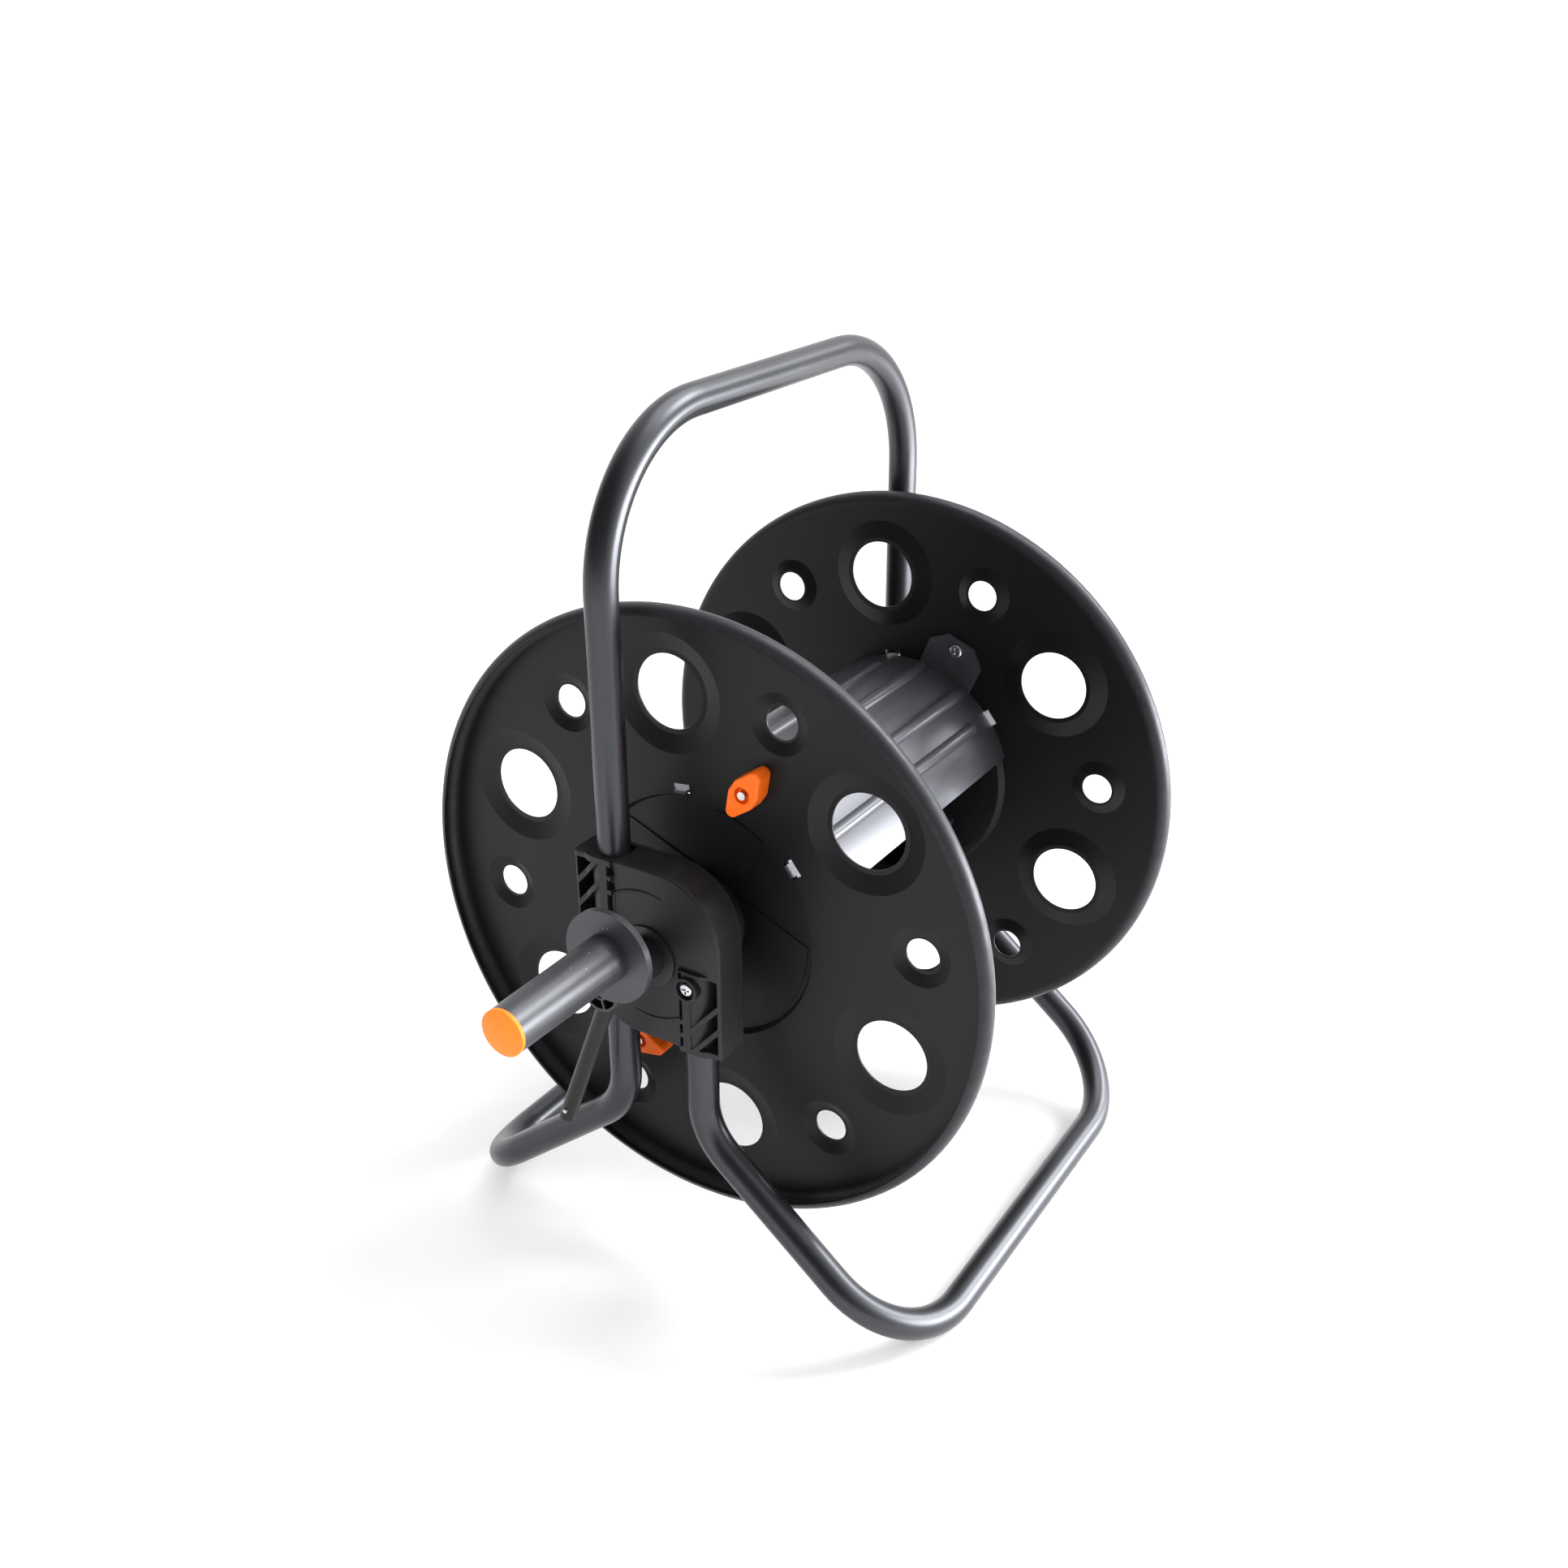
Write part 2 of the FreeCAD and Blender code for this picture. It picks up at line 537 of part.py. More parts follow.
def drum_panel(label, turn):
    """One curved moulded panel: a shell with raised ribs, and at each end a screw ear and two tabs."""
    pieces = [cylinder(label + "_tube", "drum_r", "panel_end * 2", clock(0, 0, -D["panel_end"]))]
    for hand in (-1, 1):
        for kind in ("inner_rib", "outer_rib"):
            pieces += rib(f"{label}_{kind}{hand}", hand * D[kind + "_clock"], kind)
    arch = doc.addObject("Part::Common", label + "_arch")
    arch.Base = fuse(label + "_ribbed", pieces)
    arch.Tool = drum_span(label)
    solids, holes = [arch], []
    tab_middle = D["panel_end"] + (D["tab_long"] - D["tab_root"]) / 2
    for side in (-1, 1):
        solids.append(ear(f"{label}_ear{side}", side))
        hole_start = side * (D["ear_in"] + D["ear_thick"] / 2) - D["ear_thick"] / 2 - D["over"]
        holes.append(cylinder(f"{label}_screw_hole{side}", "screw_r + screw_room", "ear_thick + over * 2",
                              clock(0, D["nut_pitch"], hole_start)))
        for hand in (-1, 1):
            angle = hand * D["tab_clock"]
            middle = clock(angle, D["drum_r"] - D["drum_wall"] / 2, side * tab_middle)
            solids.append(block(f"{label}_tab{side}{hand}", "tab_wide", "tab_long + tab_root", "drum_wall",
                                middle, clock_turn(angle)))
    bore = cylinder(label + "_bore", "drum_bore", "panel_end * 3", clock(0, 0, -D["panel_end"] * 1.5))
    panel = cut(label, fuse(label + "_solid", solids), [bore, *holes])
    panel.Placement = Placement(Vector(), clock_turn(turn))
    return panel


def ear(name, side):
    """The half-octagon plate that lies on a disc's inner face and takes a screw."""
    body = doc.addObject("PartDesign::Body", name)
    sketch = new_sketch(body, name + "_outline", "XZ_Plane", lift=side * D["ear_in"])
    outline(sketch, [("-ear_half", "ear_root"), ("-ear_half", "ear_shoulder"),
                     ("-ear_top_half", "ear_top"), ("ear_top_half", "ear_top"),
                     ("ear_half", "ear_shoulder"), ("ear_half", "ear_root")])
    pad = body.newObject("PartDesign::Pad", name + "_pad")
    pad.Profile = sketch
    bind(pad, Length="ear_thick")
    pad.Reversed = side < 0
    doc.recompute()
    return body


# ---- wing nuts and drum screws ---------------------------------------------------------------

def cross_recess(name, radius, at):
    """Two crossed slots in a screw head, centred on its outer face."""
    return [block(f"{name}_{way}", f"{radius} * cross_long", "screw_head * cross_deep",
                  f"{radius} * cross_wide", at, clock_turn(way)) for way in (0, 90)]


def top_edges(shape, out):
    """Names of the closed or open edges that lie in the plane at a distance out."""
    return [f"Edge{index + 1}" for index, edge in enumerate(shape.Edges)
            if max(abs(edge.BoundBox.YMin + out), abs(edge.BoundBox.YMax + out)) < CLOSE]


def pan_screw(name, radius, length, head_radius, head_out, outward):
    """A pan-head screw on the reel axis; its head sits at head_out and its shank runs the given way."""
    way = OUTWARD if outward else Rotation(Vector(1, 0, 0), -90)
    sign = -1 if outward else 1
    seat = Vector(0, -head_out, 0)
    shank = cylinder(name + "_shank", radius, length, seat - Vector(0, sign * D["head_sunk"], 0), way)
    top = seat - Vector(0, sign * D["screw_head"], 0)
    head = cylinder(name + "_head", head_radius, "screw_head", top, way)
    doc.recompute()
    dome = doc.addObject("Part::Fillet", name + "_dome")
    dome.Base = head
    dome.Edges = [(int(edge[4:]), D["head_dome"], D["head_dome"])
                  for edge in top_edges(head.Shape, -top.y)]
    return cut(name, fuse(name + "_blank", [shank, dome]), cross_recess(name, head_radius, top))


def soften(body, pad, out, radius):
    """Round the outer edge of a pad whose outer face lies at a distance out."""
    soft = body.newObject("PartDesign::Fillet", pad.Name + "_soft")
    soft.Base = (pad, top_edges(pad.Shape, out))
    bind(soft, Radius=radius)
    body.Tip = soft
    doc.recompute()


def wing_nut(label, clock_angle, side, wings_clock):
    """A moulded nut with two tapered wings and a dished face, its wings set at wings_clock."""
    body = doc.addObject("PartDesign::Body", label + "_moulding")
    sketch = new_sketch(body, label + "_outline", "XZ_Plane")
    outline(sketch, [("-nut_flank", "nut_waist"), ("-nut_shoulder", "nut_tip", "nut_tip_r"),
                     ("-nut_shoulder", "-nut_tip"), ("-nut_flank", "-nut_waist"),
                     ("nut_flank", "-nut_waist"), ("nut_shoulder", "-nut_tip", "nut_tip_r"),
                     ("nut_shoulder", "nut_tip"), ("nut_flank", "nut_waist")])
    pad = body.newObject("PartDesign::Pad", label + "_pad")
    pad.Profile = sketch
    bind(pad, Length="nut_thick")
    doc.recompute()
    soften(body, pad, D["nut_thick"], "nut_soft")
    bore = cylinder(label + "_bore", "screw_r + screw_fit", "nut_thick + over * 2", clock(0, 0, -D["over"]))
    dish = cylinder(label + "_dish", "nut_dish_r", "nut_dish_deep + over",
                    clock(0, 0, D["nut_thick"] - D["nut_dish_deep"]))
    nut = cut(label, body, [bore, dish])
    face = UPRIGHT if side < 0 else END_FOR_END
    nut.Placement = Placement(clock(clock_angle, D["nut_pitch"], -side * D["nut_in"]),
                              clock_turn(wings_clock - 90) * face)
    return nut


def drum_screws():
    """The four screws that clamp the drum ears to the discs, heads inside the reel."""
    screw = pan_screw("drum_screw", "screw_r", "nut_reach", "screw_head_r", D["ear_in"], True)
    doc.recompute()
    places = [Placement(clock(angle, D["nut_pitch"]), turn) for angle in panel_clocks()
              for turn in (UPRIGHT, END_FOR_END)]
    return copies("drum_screw_set", screw, places)


# ---- brackets --------------------------------------------------------------------------------

def bracket_outline(sketch):
    """Square corners where the tubes enter and leave, large round ones at the other two."""
    outline(sketch, [
        ("-bracket_x", "bracket_z"), ("-bracket_x", "-turn_z", "big_corner"),
        ("-turn_x", "-bracket_z"), ("bracket_x", "-bracket_z"),
        ("bracket_x", "turn_z", "big_corner"), ("turn_x", "bracket_z")])


def plate(label, lift, thickness):
    """A flat piece with the bracket's outline, from lift outwards."""
    body = doc.addObject("PartDesign::Body", label)
    sketch = new_sketch(body, label + "_outline", "XZ_Plane", lift=lift)
    bracket_outline(sketch)
    pad = body.newObject("PartDesign::Pad", label + "_pad")
    pad.Profile = sketch
    bind(pad, Length=thickness)
    doc.recompute()
    return body


def pocket(name, side):
    """The room between a tube's round cover and the bracket's side, crossed by slanted fins."""
    middle = Vector(side * (D["pocket_in"] + D["pocket_out"]) / 2,
                    -(D["collar_out"] + D["over"] + D["pocket_floor"]) / 2,
                    -side * (D["pocket_start"] + D["pocket_end"]) / 2)
    room = block(name + "_room", "pocket_out - pocket_in", "collar_out + over - pocket_floor",
                 "pocket_end - pocket_start", middle)
    kept = [cylinder(name + "_cover", "cover_r", "bracket_z * 2",
                     Vector(side * D["tube_x"], -D["tube_out"], -D["bracket_z"]), UPRIGHT)]
    for index in range(int(D["fins"])):
        down = D["fin_first"] + D["fin_pitch"] * index
        kept.append(block(f"{name}_fin_{index}", "fin_long", "bracket_out", "fin_tall",
                          Vector(side * D["pocket_out"], -D["tube_out"], -side * down),
                          Rotation(Vector(0, 1, 0), -D["fin_lean"])))
    return cut(name + "_pocket", room, kept)


def side_slots(name, side):
    """The long slot beside a collar, broken by ribs towards the bracket's end."""
    slots = [(0, "slot_long")]
    for index in range(int(D["short_slots"])):
        slots.append((D["slot_long"] + D["slot_rib"] + D["short_slot_pitch"] * index, "short_slot"))
    tools = []
    for start, length in slots:
        down = D["slot_start"] + start + D[length] / 2
        middle = Vector(side * D["slot_x"], D["over"] - D["bracket_out"], -side * down)
        tools.append(block(f"{name}_slot_{start:.0f}", "slot_gap", "bracket_out - tube_out + over * 4",
                           length, middle))
    return tools


def collar(name, side):
    """The round-shouldered sleeve over one tube end."""
    length = "bracket_z - collar_end"
    deep = "collar_out - bracket_in - over * 2"
    round_x = D["bracket_x"] - D["collar_r"]
    middle_z = -side * (D["bracket_z"] + D["collar_end"]) / 2
    round_start = middle_z - (D["bracket_z"] - D["collar_end"]) / 2
    shoulder = cylinder(name + "_round", "collar_r", length,
                        Vector(side * round_x, D["collar_r"] - D["collar_out"], round_start), UPRIGHT)
    middle_out = (D["collar_out"] + D["bracket_in"]) / 2 + D["over"]
    flat = block(name + "_flat", "bracket_x - collar_r - collar_in", deep, length,
                 Vector(side * (D["collar_in"] + round_x) / 2, -middle_out, middle_z))
    return [shoulder, flat]


def tube_room(name, side, top):
    """The channel that one tube line fills, open towards the back plate."""
    length = f"bracket_z + {top} + over * 2"
    across = side * D["tube_x"]
    start = -D["bracket_z"] - D["over"]
    mouth = Vector(across, -(D["tube_out"] + D["bracket_in"]) / 2 + D["over"], (D[top] - D["bracket_z"]) / 2)
    return [cylinder(name + "_channel", "tube_r + tube_fit", length,
                     Vector(across, -D["tube_out"], start), UPRIGHT),
            block(name + "_mouth", "(tube_r + tube_fit) * 2", "tube_out - bracket_in + over * 2",
                  length, mouth)]


def screw_boss(name, side):
    """A raised round boss with a dished face, and the way through it for a bracket screw."""
    at = Vector(side * D["tube_x"], D["boss_root"] - D["bracket_out"], -side * D["boss_up"])
    face = Vector(at.x, D["boss_deep"] - D["boss_high"] - D["bracket_out"], at.z)
    way = Vector(at.x, D["over"] - D["plate_in"], at.z)
    boss = cylinder(name + "_boss", "boss_r", "boss_high + boss_root", at)
    return boss, [cylinder(name + "_boss_dish", "boss_r - boss_wall", "boss_deep + over", face),
                  cylinder(name + "_screw_way", "bracket_screw_r + screw_room",
                           "bracket_out + boss_high - plate_in + over * 2", way)]


def bracket(label):
    """The crank-end bracket: a deep moulded shell over both tubes, with the bearing through it."""
    body = plate(label + "_shell", D["bracket_in"], "bracket_out - bracket_in")
    soften(body, body.Tip, D["bracket_out"], "shell_soft")
    solids, tools = [body], []
    for side, top in ((-1, "bracket_z"), (1, "rear_tube_top")):
        name = label + ("_upper" if side < 0 else "_lower")
        boss, ways = screw_boss(name, side)
        solids += [boss, *collar(name, side)]
        gaps = fuse(name + "_gaps", [pocket(name, side), *side_slots(name, side)])
        boss_room = cylinder(name + "_boss_room", "boss_r", "bracket_out", Vector(boss.Placement.Base))
        tools += ways + [cut(name + "_openings", gaps, [boss_room])] + tube_room(name, side, top)
        tools.append(block(name + "_core", "core_wide", "(bracket_out - bracket_skin - bracket_in) * 2",
                           "core_tall", Vector(0, -D["bracket_in"], side * D["core_up"])))
    tools.append(cylinder(label + "_bearing_bore", "bush_r", "bracket_out",
                          clock(0, 0, D["plate_in"] - D["over"])))
    tools.append(block(label + "_trim", "bracket_x * 3", "collar_r", "bracket_z * 3",
                       Vector(0, D["collar_r"] / 2 - D["bracket_in"], 0)))
    return cut(label, fuse(label + "_solid", solids), tools)


def back_plate(label):
    """The flat cover that closes the bracket behind the tubes."""
    body = plate(label + "_sheet", D["plate_in"], "plate_thick")
    inner = D["over"] - D["plate_in"]
    tools = [cylinder(label + "_bore", "bush_r + tube_fit", "plate_thick + over * 2", Vector(0, inner, 0))]
    for side in (-1, 1):
        tools.append(cylinder(f"{label}_hole_{side}", "bracket_screw_r + screw_room",
                              "plate_thick + over * 2",
                              Vector(side * D["tube_x"], inner, -side * D["boss_up"])))
    return cut(label, body, tools)


def bracket_screws():
    """Two long screws at each end, from the bosses through the tubes into the back plates."""
    seat = D["bracket_out"] + D["boss_high"] - D["boss_deep"]
    screw = pan_screw("bracket_screw", "bracket_screw_r", "bracket_screw_long", "bracket_head_r",
                      seat, False)
    doc.recompute()
    places = []
    for side in (-1, 1):
        at = Vector(side * D["tube_x"], 0, -side * D["boss_up"])
        places += [Placement(at, turn) for turn in (UPRIGHT, END_FOR_END)]
    return copies("bracket_screw_set", screw, places)


# ---- bearings and hubs -----------------------------------------------------------------------

def bush(label):
    """A flanged plastic bush in the bracket, where the hub turns."""
    return turned(label + "_turning", [
        ("bush_bore", "-plate_in"), ("bush_r", "-plate_in"), ("bush_r", "-bracket_out"),
        ("bush_lip_r", "-bracket_out"), ("bush_lip_r", "-bush_lip_out"), ("bush_bore", "-bush_lip_out")])


def thrust_washer(label):
    """A loose washer between the hub's shoulder and the back plate."""
    return turned(label + "_turning", [
        ("bush_bore", "-washer_in"), ("hub_shoulder_r", "-washer_in"),
        ("hub_shoulder_r", "-washer_out"), ("bush_bore", "-washer_out")])


def flange_holes(name, side):
    """Pilot holes for the hub screws through the flange at one end."""
    inner = min(side * D["floor_out"], side * D["flange_out"]) - D["over"]
    return [cylinder(f"{name}_hole_{angle:.0f}", "hub_screw_r + screw_fit", "hub_flange + over * 2",
                     clock(angle, D["hub_screw_pitch"], inner)) for angle in hub_screw_clocks()]


def spoked_mouth():
    """The hub's open end: a round pocket left with an inner ring and spokes."""
    floor = D["hub_end"] - D["hub_mouth"]
    ring_hole = cylinder("mouth_ring_hole", "mouth_ring_bore", "hub_mouth + over * 2",
                         clock(0, 0, floor - D["over"]))
    ring_rod = cylinder("mouth_ring_rod", "mouth_ring_r", "hub_mouth", clock(0, 0, floor))
    left_standing = [cut("mouth_ring", ring_rod, [ring_hole])]
    middle = (D["mouth_ring_r"] + D["mouth_r"]) / 2
    for angle in ring_clocks(D["arm_clock"], D["spokes"]):
        left_standing.append(block(f"mouth_spoke_{angle:.0f}", "spoke", "hub_mouth",
                                   "mouth_r - mouth_ring_bore",
                                   clock(angle, middle, floor + D["hub_mouth"] / 2), clock_turn(angle)))
    pocket = cylinder("mouth_rod", "mouth_r", "hub_mouth + over", clock(0, 0, floor))
    return cut("mouth", pocket, left_standing)


def crank_hub():
    """The driven end of the reel: flange, shoulder and journal, cross-bored for the crank arm."""
    solid = turned("crank_hub_turning", [
        ("0", "-spigot_in"), ("spigot_fit_r", "-spigot_in"), ("spigot_fit_r", "-floor_out"),
        ("hub_flange_r", "-floor_out"), ("hub_flange_r", "-flange_out"),
        ("hub_shoulder_r", "-flange_out"), ("hub_shoulder_r", "-shoulder_out"),
        ("journal_r", "-shoulder_out"), ("journal_r", "-hub_end"), ("0", "-hub_end")])
    arm_way = cylinder("arm_way", "arm_r + arm_fit", "hub_shoulder_r * 2",
                       arm_point(-D["hub_shoulder_r"], D["arm_out"]), clock_turn(D["arm_clock"]))
    core = cylinder("hub_core", "hub_core_r", "hub_core_end - spigot_in + over",
                    clock(0, 0, D["spigot_in"] - D["over"]))
    return cut("crank_hub", solid, [spoked_mouth(), arm_way, core, *flange_holes("crank_hub", 1)])


def groove(floor, start, end):
    """Corners of one square groove round the axle."""
    return [("axle_r", start), (floor, start), (floor, end), ("axle_r", end)]


def water_axle():
    """The hollow hub at the water end, with grooves for two seals and a clip on its tip."""
    corners = [
        ("bore_r", "axle_in"), ("axle_r", "axle_in"), ("axle_r", "spigot_in"),
        ("spigot_fit_r", "spigot_in"), ("spigot_fit_r", "floor_out"), ("hub_flange_r", "floor_out"),
        ("hub_flange_r", "flange_out"), ("hub_shoulder_r", "flange_out"),
        ("hub_shoulder_r", "shoulder_out"), ("journal_r", "shoulder_out"),
        ("journal_r", "journal_end"), ("axle_r", "journal_end")]
    corners += groove("ring_floor_r", "ring_first_in", "ring_first_out")
    corners += groove("ring_floor_r", "ring_second_in", "ring_second_out")
    corners += groove("clip_floor_r", "clip_in", "clip_out")
    corners += [("axle_r", "axle_end"), ("bore_r", "axle_end")]
    return cut("water_axle", turned("water_axle_turning", corners), flange_holes("water_axle", -1))


def hub_screws():
    """Self-tapping screws from inside each disc into the hub flanges."""
    screw = pan_screw("hub_screw", "hub_screw_r", "hub_flange + sheet - hub_screw_short",
                      "screw_head_r", D["floor_in"], True)
    doc.recompute()
    places = []
    for angle in hub_screw_clocks():
        places += [Placement(clock(angle, D["hub_screw_pitch"]), turn) for turn in (UPRIGHT, END_FOR_END)]
    return copies("hub_screw_set", screw, places)


def ring(name, ring_radius, wire_radius, at):
    """A round-section ring about the reel axis."""
    loop = bind(doc.addObject("Part::Torus", name), Radius1=ring_radius, Radius2=wire_radius)
    loop.Placement = Placement(Vector(0, at, 0), OUTWARD)
    return loop


def nipple(name, axis_y, turn):
    """A quick-connect hose nipple on its neck, as solids and the bore through them."""
    stations = [("neck", "neck_r", "neck_long"), ("collar", "nipple_collar_r", "nipple_collar"),
                ("stem", "nipple_r", "nipple_long"), ("groove", "nipple_groove_r", "nipple_groove"),
                ("tip", "nipple_tip_r", "nipple_tip")]
    solids, reach = [], 0.0
    for part, radius, length in stations:
        at = Vector(0, axis_y, 0) + turn.multVec(Vector(0, 0, reach))
        solids.append(cylinder(f"{name}_{part}", radius, length, at, turn))
        reach += D[length]
    bore = cylinder(name + "_bore", "nipple_bore", f"{reach + 1}", Vector(0, axis_y, 0), turn)
    return solids, bore


def inlet_elbow():
    """The swivelling elbow the supply hose plugs onto, hanging down beside the bracket."""
    solids, bore = nipple("inlet", D["inlet_out"], Rotation(Vector(1, 0, 0), 180))
    barrel = cylinder("inlet_barrel", "elbow_r", "elbow_end - elbow_in", Vector(0, D["elbow_end"], 0))
    socket = cylinder("inlet_socket", "axle_r + ring_gap", "axle_end - elbow_in + over * 2",
                      Vector(0, D["axle_end"] + D["over"], 0))
    clip_room = cylinder("inlet_clip_room", "clip_roof_r", "clip_out - clip_in",
                         Vector(0, D["clip_out"], 0))
    way = cylinder("inlet_way", "bore_r", "inlet_out + bore_r + over - axle_end",
                   Vector(0, D["inlet_out"] + D["bore_r"] + D["over"], 0))
    return cut("inlet_elbow", fuse("inlet_solid", [barrel, *solids]), [socket, clip_room, way, bore])


def outlet_elbow():
    """The elbow inside the drum that hands the water to the wound hose through the drum's gap."""
    solids, bore = nipple("outlet", D["outlet_out"], clock_turn(D["panel_clock"] + 90))
    barrel = cylinder("outlet_barrel", "elbow_r", "outlet_end - outlet_in",
                      Vector(0, D["outlet_end"], 0))
    socket = cylinder("outlet_socket", "axle_r", "outlet_end - axle_in + over",
                      Vector(0, D["outlet_end"] + D["over"], 0))
    way = cylinder("outlet_way", "bore_r", "axle_in - outlet_out + bore_r + over * 2",
                   Vector(0, D["axle_in"] + D["over"], 0))
    return cut("outlet_elbow", fuse("outlet_solid", [barrel, *solids]), [socket, way, bore])


# ---- crank and grip --------------------------------------------------------------------------

def arm_point(along, out):
    return clock(D["arm_clock"], along, out)


def tail_pin(name, radius, past):
    """A rod across the arm near its tail, running past the pin's two ends by the same amount."""
    start = D["arm_out"] - D["stop_pin_half"] - D[past] if past else D["arm_out"] - D["stop_pin_half"]
    length = f"(stop_pin_half + {past}) * 2" if past else "stop_pin_half * 2"
    return cylinder(name, radius, length, arm_point(D["stop_pin_in"] - D["arm_tail"], start))


def crank_arm():
    """A bent rod that slides through the hub and carries the grip on its outer run."""
    points = [arm_point(-D["arm_tail"], D["arm_out"]), arm_point(D["arm_throw"], D["arm_out"]),
              arm_point(D["arm_throw"], D["arm_end"])]
    rod = sweep("arm_rod", bent_path("arm_path", points, [D["arm_bend"]]), "arm_r", points[0],
                points[1] - points[0])
    hole = cylinder("arm_hole", "arm_hole_r", "stop_pin_in * 2",
                    arm_point(-D["arm_tail"] - D["over"], D["arm_out"]), clock_turn(D["arm_clock"]))
    return cut("crank_arm", rod, [hole, tail_pin("arm_pin_way", "stop_pin_r", "over")])


def arm_stop_pin():
    """A cross pin near the tail of the arm; it stops the arm from being pulled out."""
    return tail_pin("stop_pin_rod", "stop_pin_r", "")


def on_arm(piece):
    """Carry a piece turned about the reel axis to the arm's outer run."""
    piece.Placement = Placement(arm_point(D["arm_throw"], 0), UPRIGHT)
    return piece


def grip_sleeve():
    return on_arm(turned("grip_turning", [
        ("grip_bore", "-grip_in"), ("grip_flange_r", "-grip_in"), ("grip_flange_r", "-grip_flange_out"),
        ("grip_root_r", "-grip_flange_out"), ("grip_tip_r", "-grip_end"), ("grip_room_r", "-grip_end"),
        ("grip_room_r", "-grip_floor"), ("grip_bore", "-grip_floor"), ("grip_bore", "-relief_out"),
        ("relief_r", "-relief_out"), ("relief_r", "-relief_in"), ("grip_bore", "-relief_in")]))


def grip_cap():
    return on_arm(turned("cap_turning", [
        ("0", "-cap_in"), ("cap_plug_r", "-cap_in"), ("cap_plug_r", "-grip_end"), ("cap_r", "-grip_end"),
        ("cap_r", "-cap_edge_out", "-cap_dome_r"), ("0", "-cap_top")]))


def push_nut():
    """The spring washer pressed on the rod's end that keeps the grip on."""
    seat = D["grip_floor"] + D["end_play"]
    return cut("push_nut", cylinder("push_nut_disc", "push_nut_r", "push_nut",
                                    arm_point(D["arm_throw"], seat)),
               [cylinder("push_nut_hole", "arm_r", "push_nut + over * 2",
                         arm_point(D["arm_throw"], seat - D["over"]))])


# ---- assembly --------------------------------------------------------------------------------

place(handle_tube(), "handle_tube")
place(foot_tube("front_foot_tube", -1, D["swage_top"]), "front_foot_tube")
place(foot_tube("rear_foot_tube", 1, D["rear_tube_top"]), "rear_foot_tube")

END_PIECES = {"bracket": bracket, "back_plate": back_plate, "bush": bush,
              "washer": thrust_washer, "disc": disc}
for name, make in END_PIECES.items():
    piece = place(make("crank_side_" + name), "crank_side_" + name)
    doc.recompute()
    other_end(piece, "water_side_" + name)
place(bracket_screws(), "bracket_screws")

place(drum_panel("upper_drum_panel", D["panel_clock"]), "upper_drum_panel")
place(drum_panel("lower_drum_panel", D["panel_clock"] + 180), "lower_drum_panel")
place(drum_screws(), "drum_screws")
for end, side in (("crank", -1), ("water", 1)):
    for level, angle in zip(("upper", "lower"), panel_clocks()):
        nut_name = f"{end}_{level}_wing_nut"
        place(wing_nut(nut_name, angle, side, D[level + "_nut_clock"]), nut_name)

place(crank_hub(), "crank_hub")
place(water_axle(), "water_axle")
place(hub_screws(), "hub_screws")
seals = [ring(name + "_seal", "axle_r - ring_r", "ring_r", D[name])
         for name in ("ring_first", "ring_second")]
place(group("seal_pair", seals), "axle_seals")
place(outlet_elbow(), "outlet_elbow")
place(inlet_elbow(), "inlet_elbow")
place(ring("clip_ring", "axle_r", "clip_r", D["clip_at"]), "inlet_clip")

place(crank_arm(), "crank_arm")
place(arm_stop_pin(), "arm_stop_pin")
place(grip_sleeve(), "grip_sleeve")
place(grip_cap(), "grip_cap")
place(push_nut(), "grip_push_nut")

doc.recompute()
for thing in doc.Objects:
    if "Invalid" in thing.State or "Error" in thing.State:
        raise RuntimeError(f"{thing.Name} failed: {thing.State}")
os.makedirs("parts", exist_ok=True)
for node in nodes:
    if node.Shape.isNull() or not node.Shape.isValid() or node.Shape.Volume <= 0:
        raise RuntimeError(f"{node.Label} has no sound shape")
    node.Shape.exportStep(f"parts/{node.Label}.step")
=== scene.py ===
import json
import math

import bmesh
import bpy
from mathutils import Euler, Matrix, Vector


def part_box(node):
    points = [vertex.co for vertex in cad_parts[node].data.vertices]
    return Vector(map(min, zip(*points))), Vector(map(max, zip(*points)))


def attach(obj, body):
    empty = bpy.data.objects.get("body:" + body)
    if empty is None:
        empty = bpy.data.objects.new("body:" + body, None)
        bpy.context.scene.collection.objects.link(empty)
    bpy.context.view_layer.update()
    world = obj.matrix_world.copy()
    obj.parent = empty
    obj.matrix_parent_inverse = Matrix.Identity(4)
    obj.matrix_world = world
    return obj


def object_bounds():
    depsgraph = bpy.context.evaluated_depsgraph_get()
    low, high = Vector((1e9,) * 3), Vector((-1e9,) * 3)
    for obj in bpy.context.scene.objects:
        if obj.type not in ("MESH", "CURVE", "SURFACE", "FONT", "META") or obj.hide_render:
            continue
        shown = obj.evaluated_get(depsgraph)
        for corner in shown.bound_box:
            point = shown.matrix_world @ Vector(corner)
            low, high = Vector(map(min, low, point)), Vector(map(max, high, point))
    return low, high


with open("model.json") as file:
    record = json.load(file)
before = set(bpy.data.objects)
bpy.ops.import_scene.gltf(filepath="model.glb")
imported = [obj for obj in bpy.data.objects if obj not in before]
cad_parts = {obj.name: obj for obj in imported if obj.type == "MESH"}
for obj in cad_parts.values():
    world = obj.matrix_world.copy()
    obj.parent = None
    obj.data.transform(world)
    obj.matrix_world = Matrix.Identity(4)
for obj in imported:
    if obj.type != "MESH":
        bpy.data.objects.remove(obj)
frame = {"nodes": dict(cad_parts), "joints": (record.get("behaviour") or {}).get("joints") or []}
nodes = frame["nodes"]
cad_low, cad_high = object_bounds()

# ---- Camera and studio -----------------------------------------------------------------------
# A tall stand off the crank end looks down onto the reel, on white paper in a white room. A wide
# key shines from beyond it, a low strip and an overhead box line its edges with light, and a
# weak fill at the stand leaves no reflection.

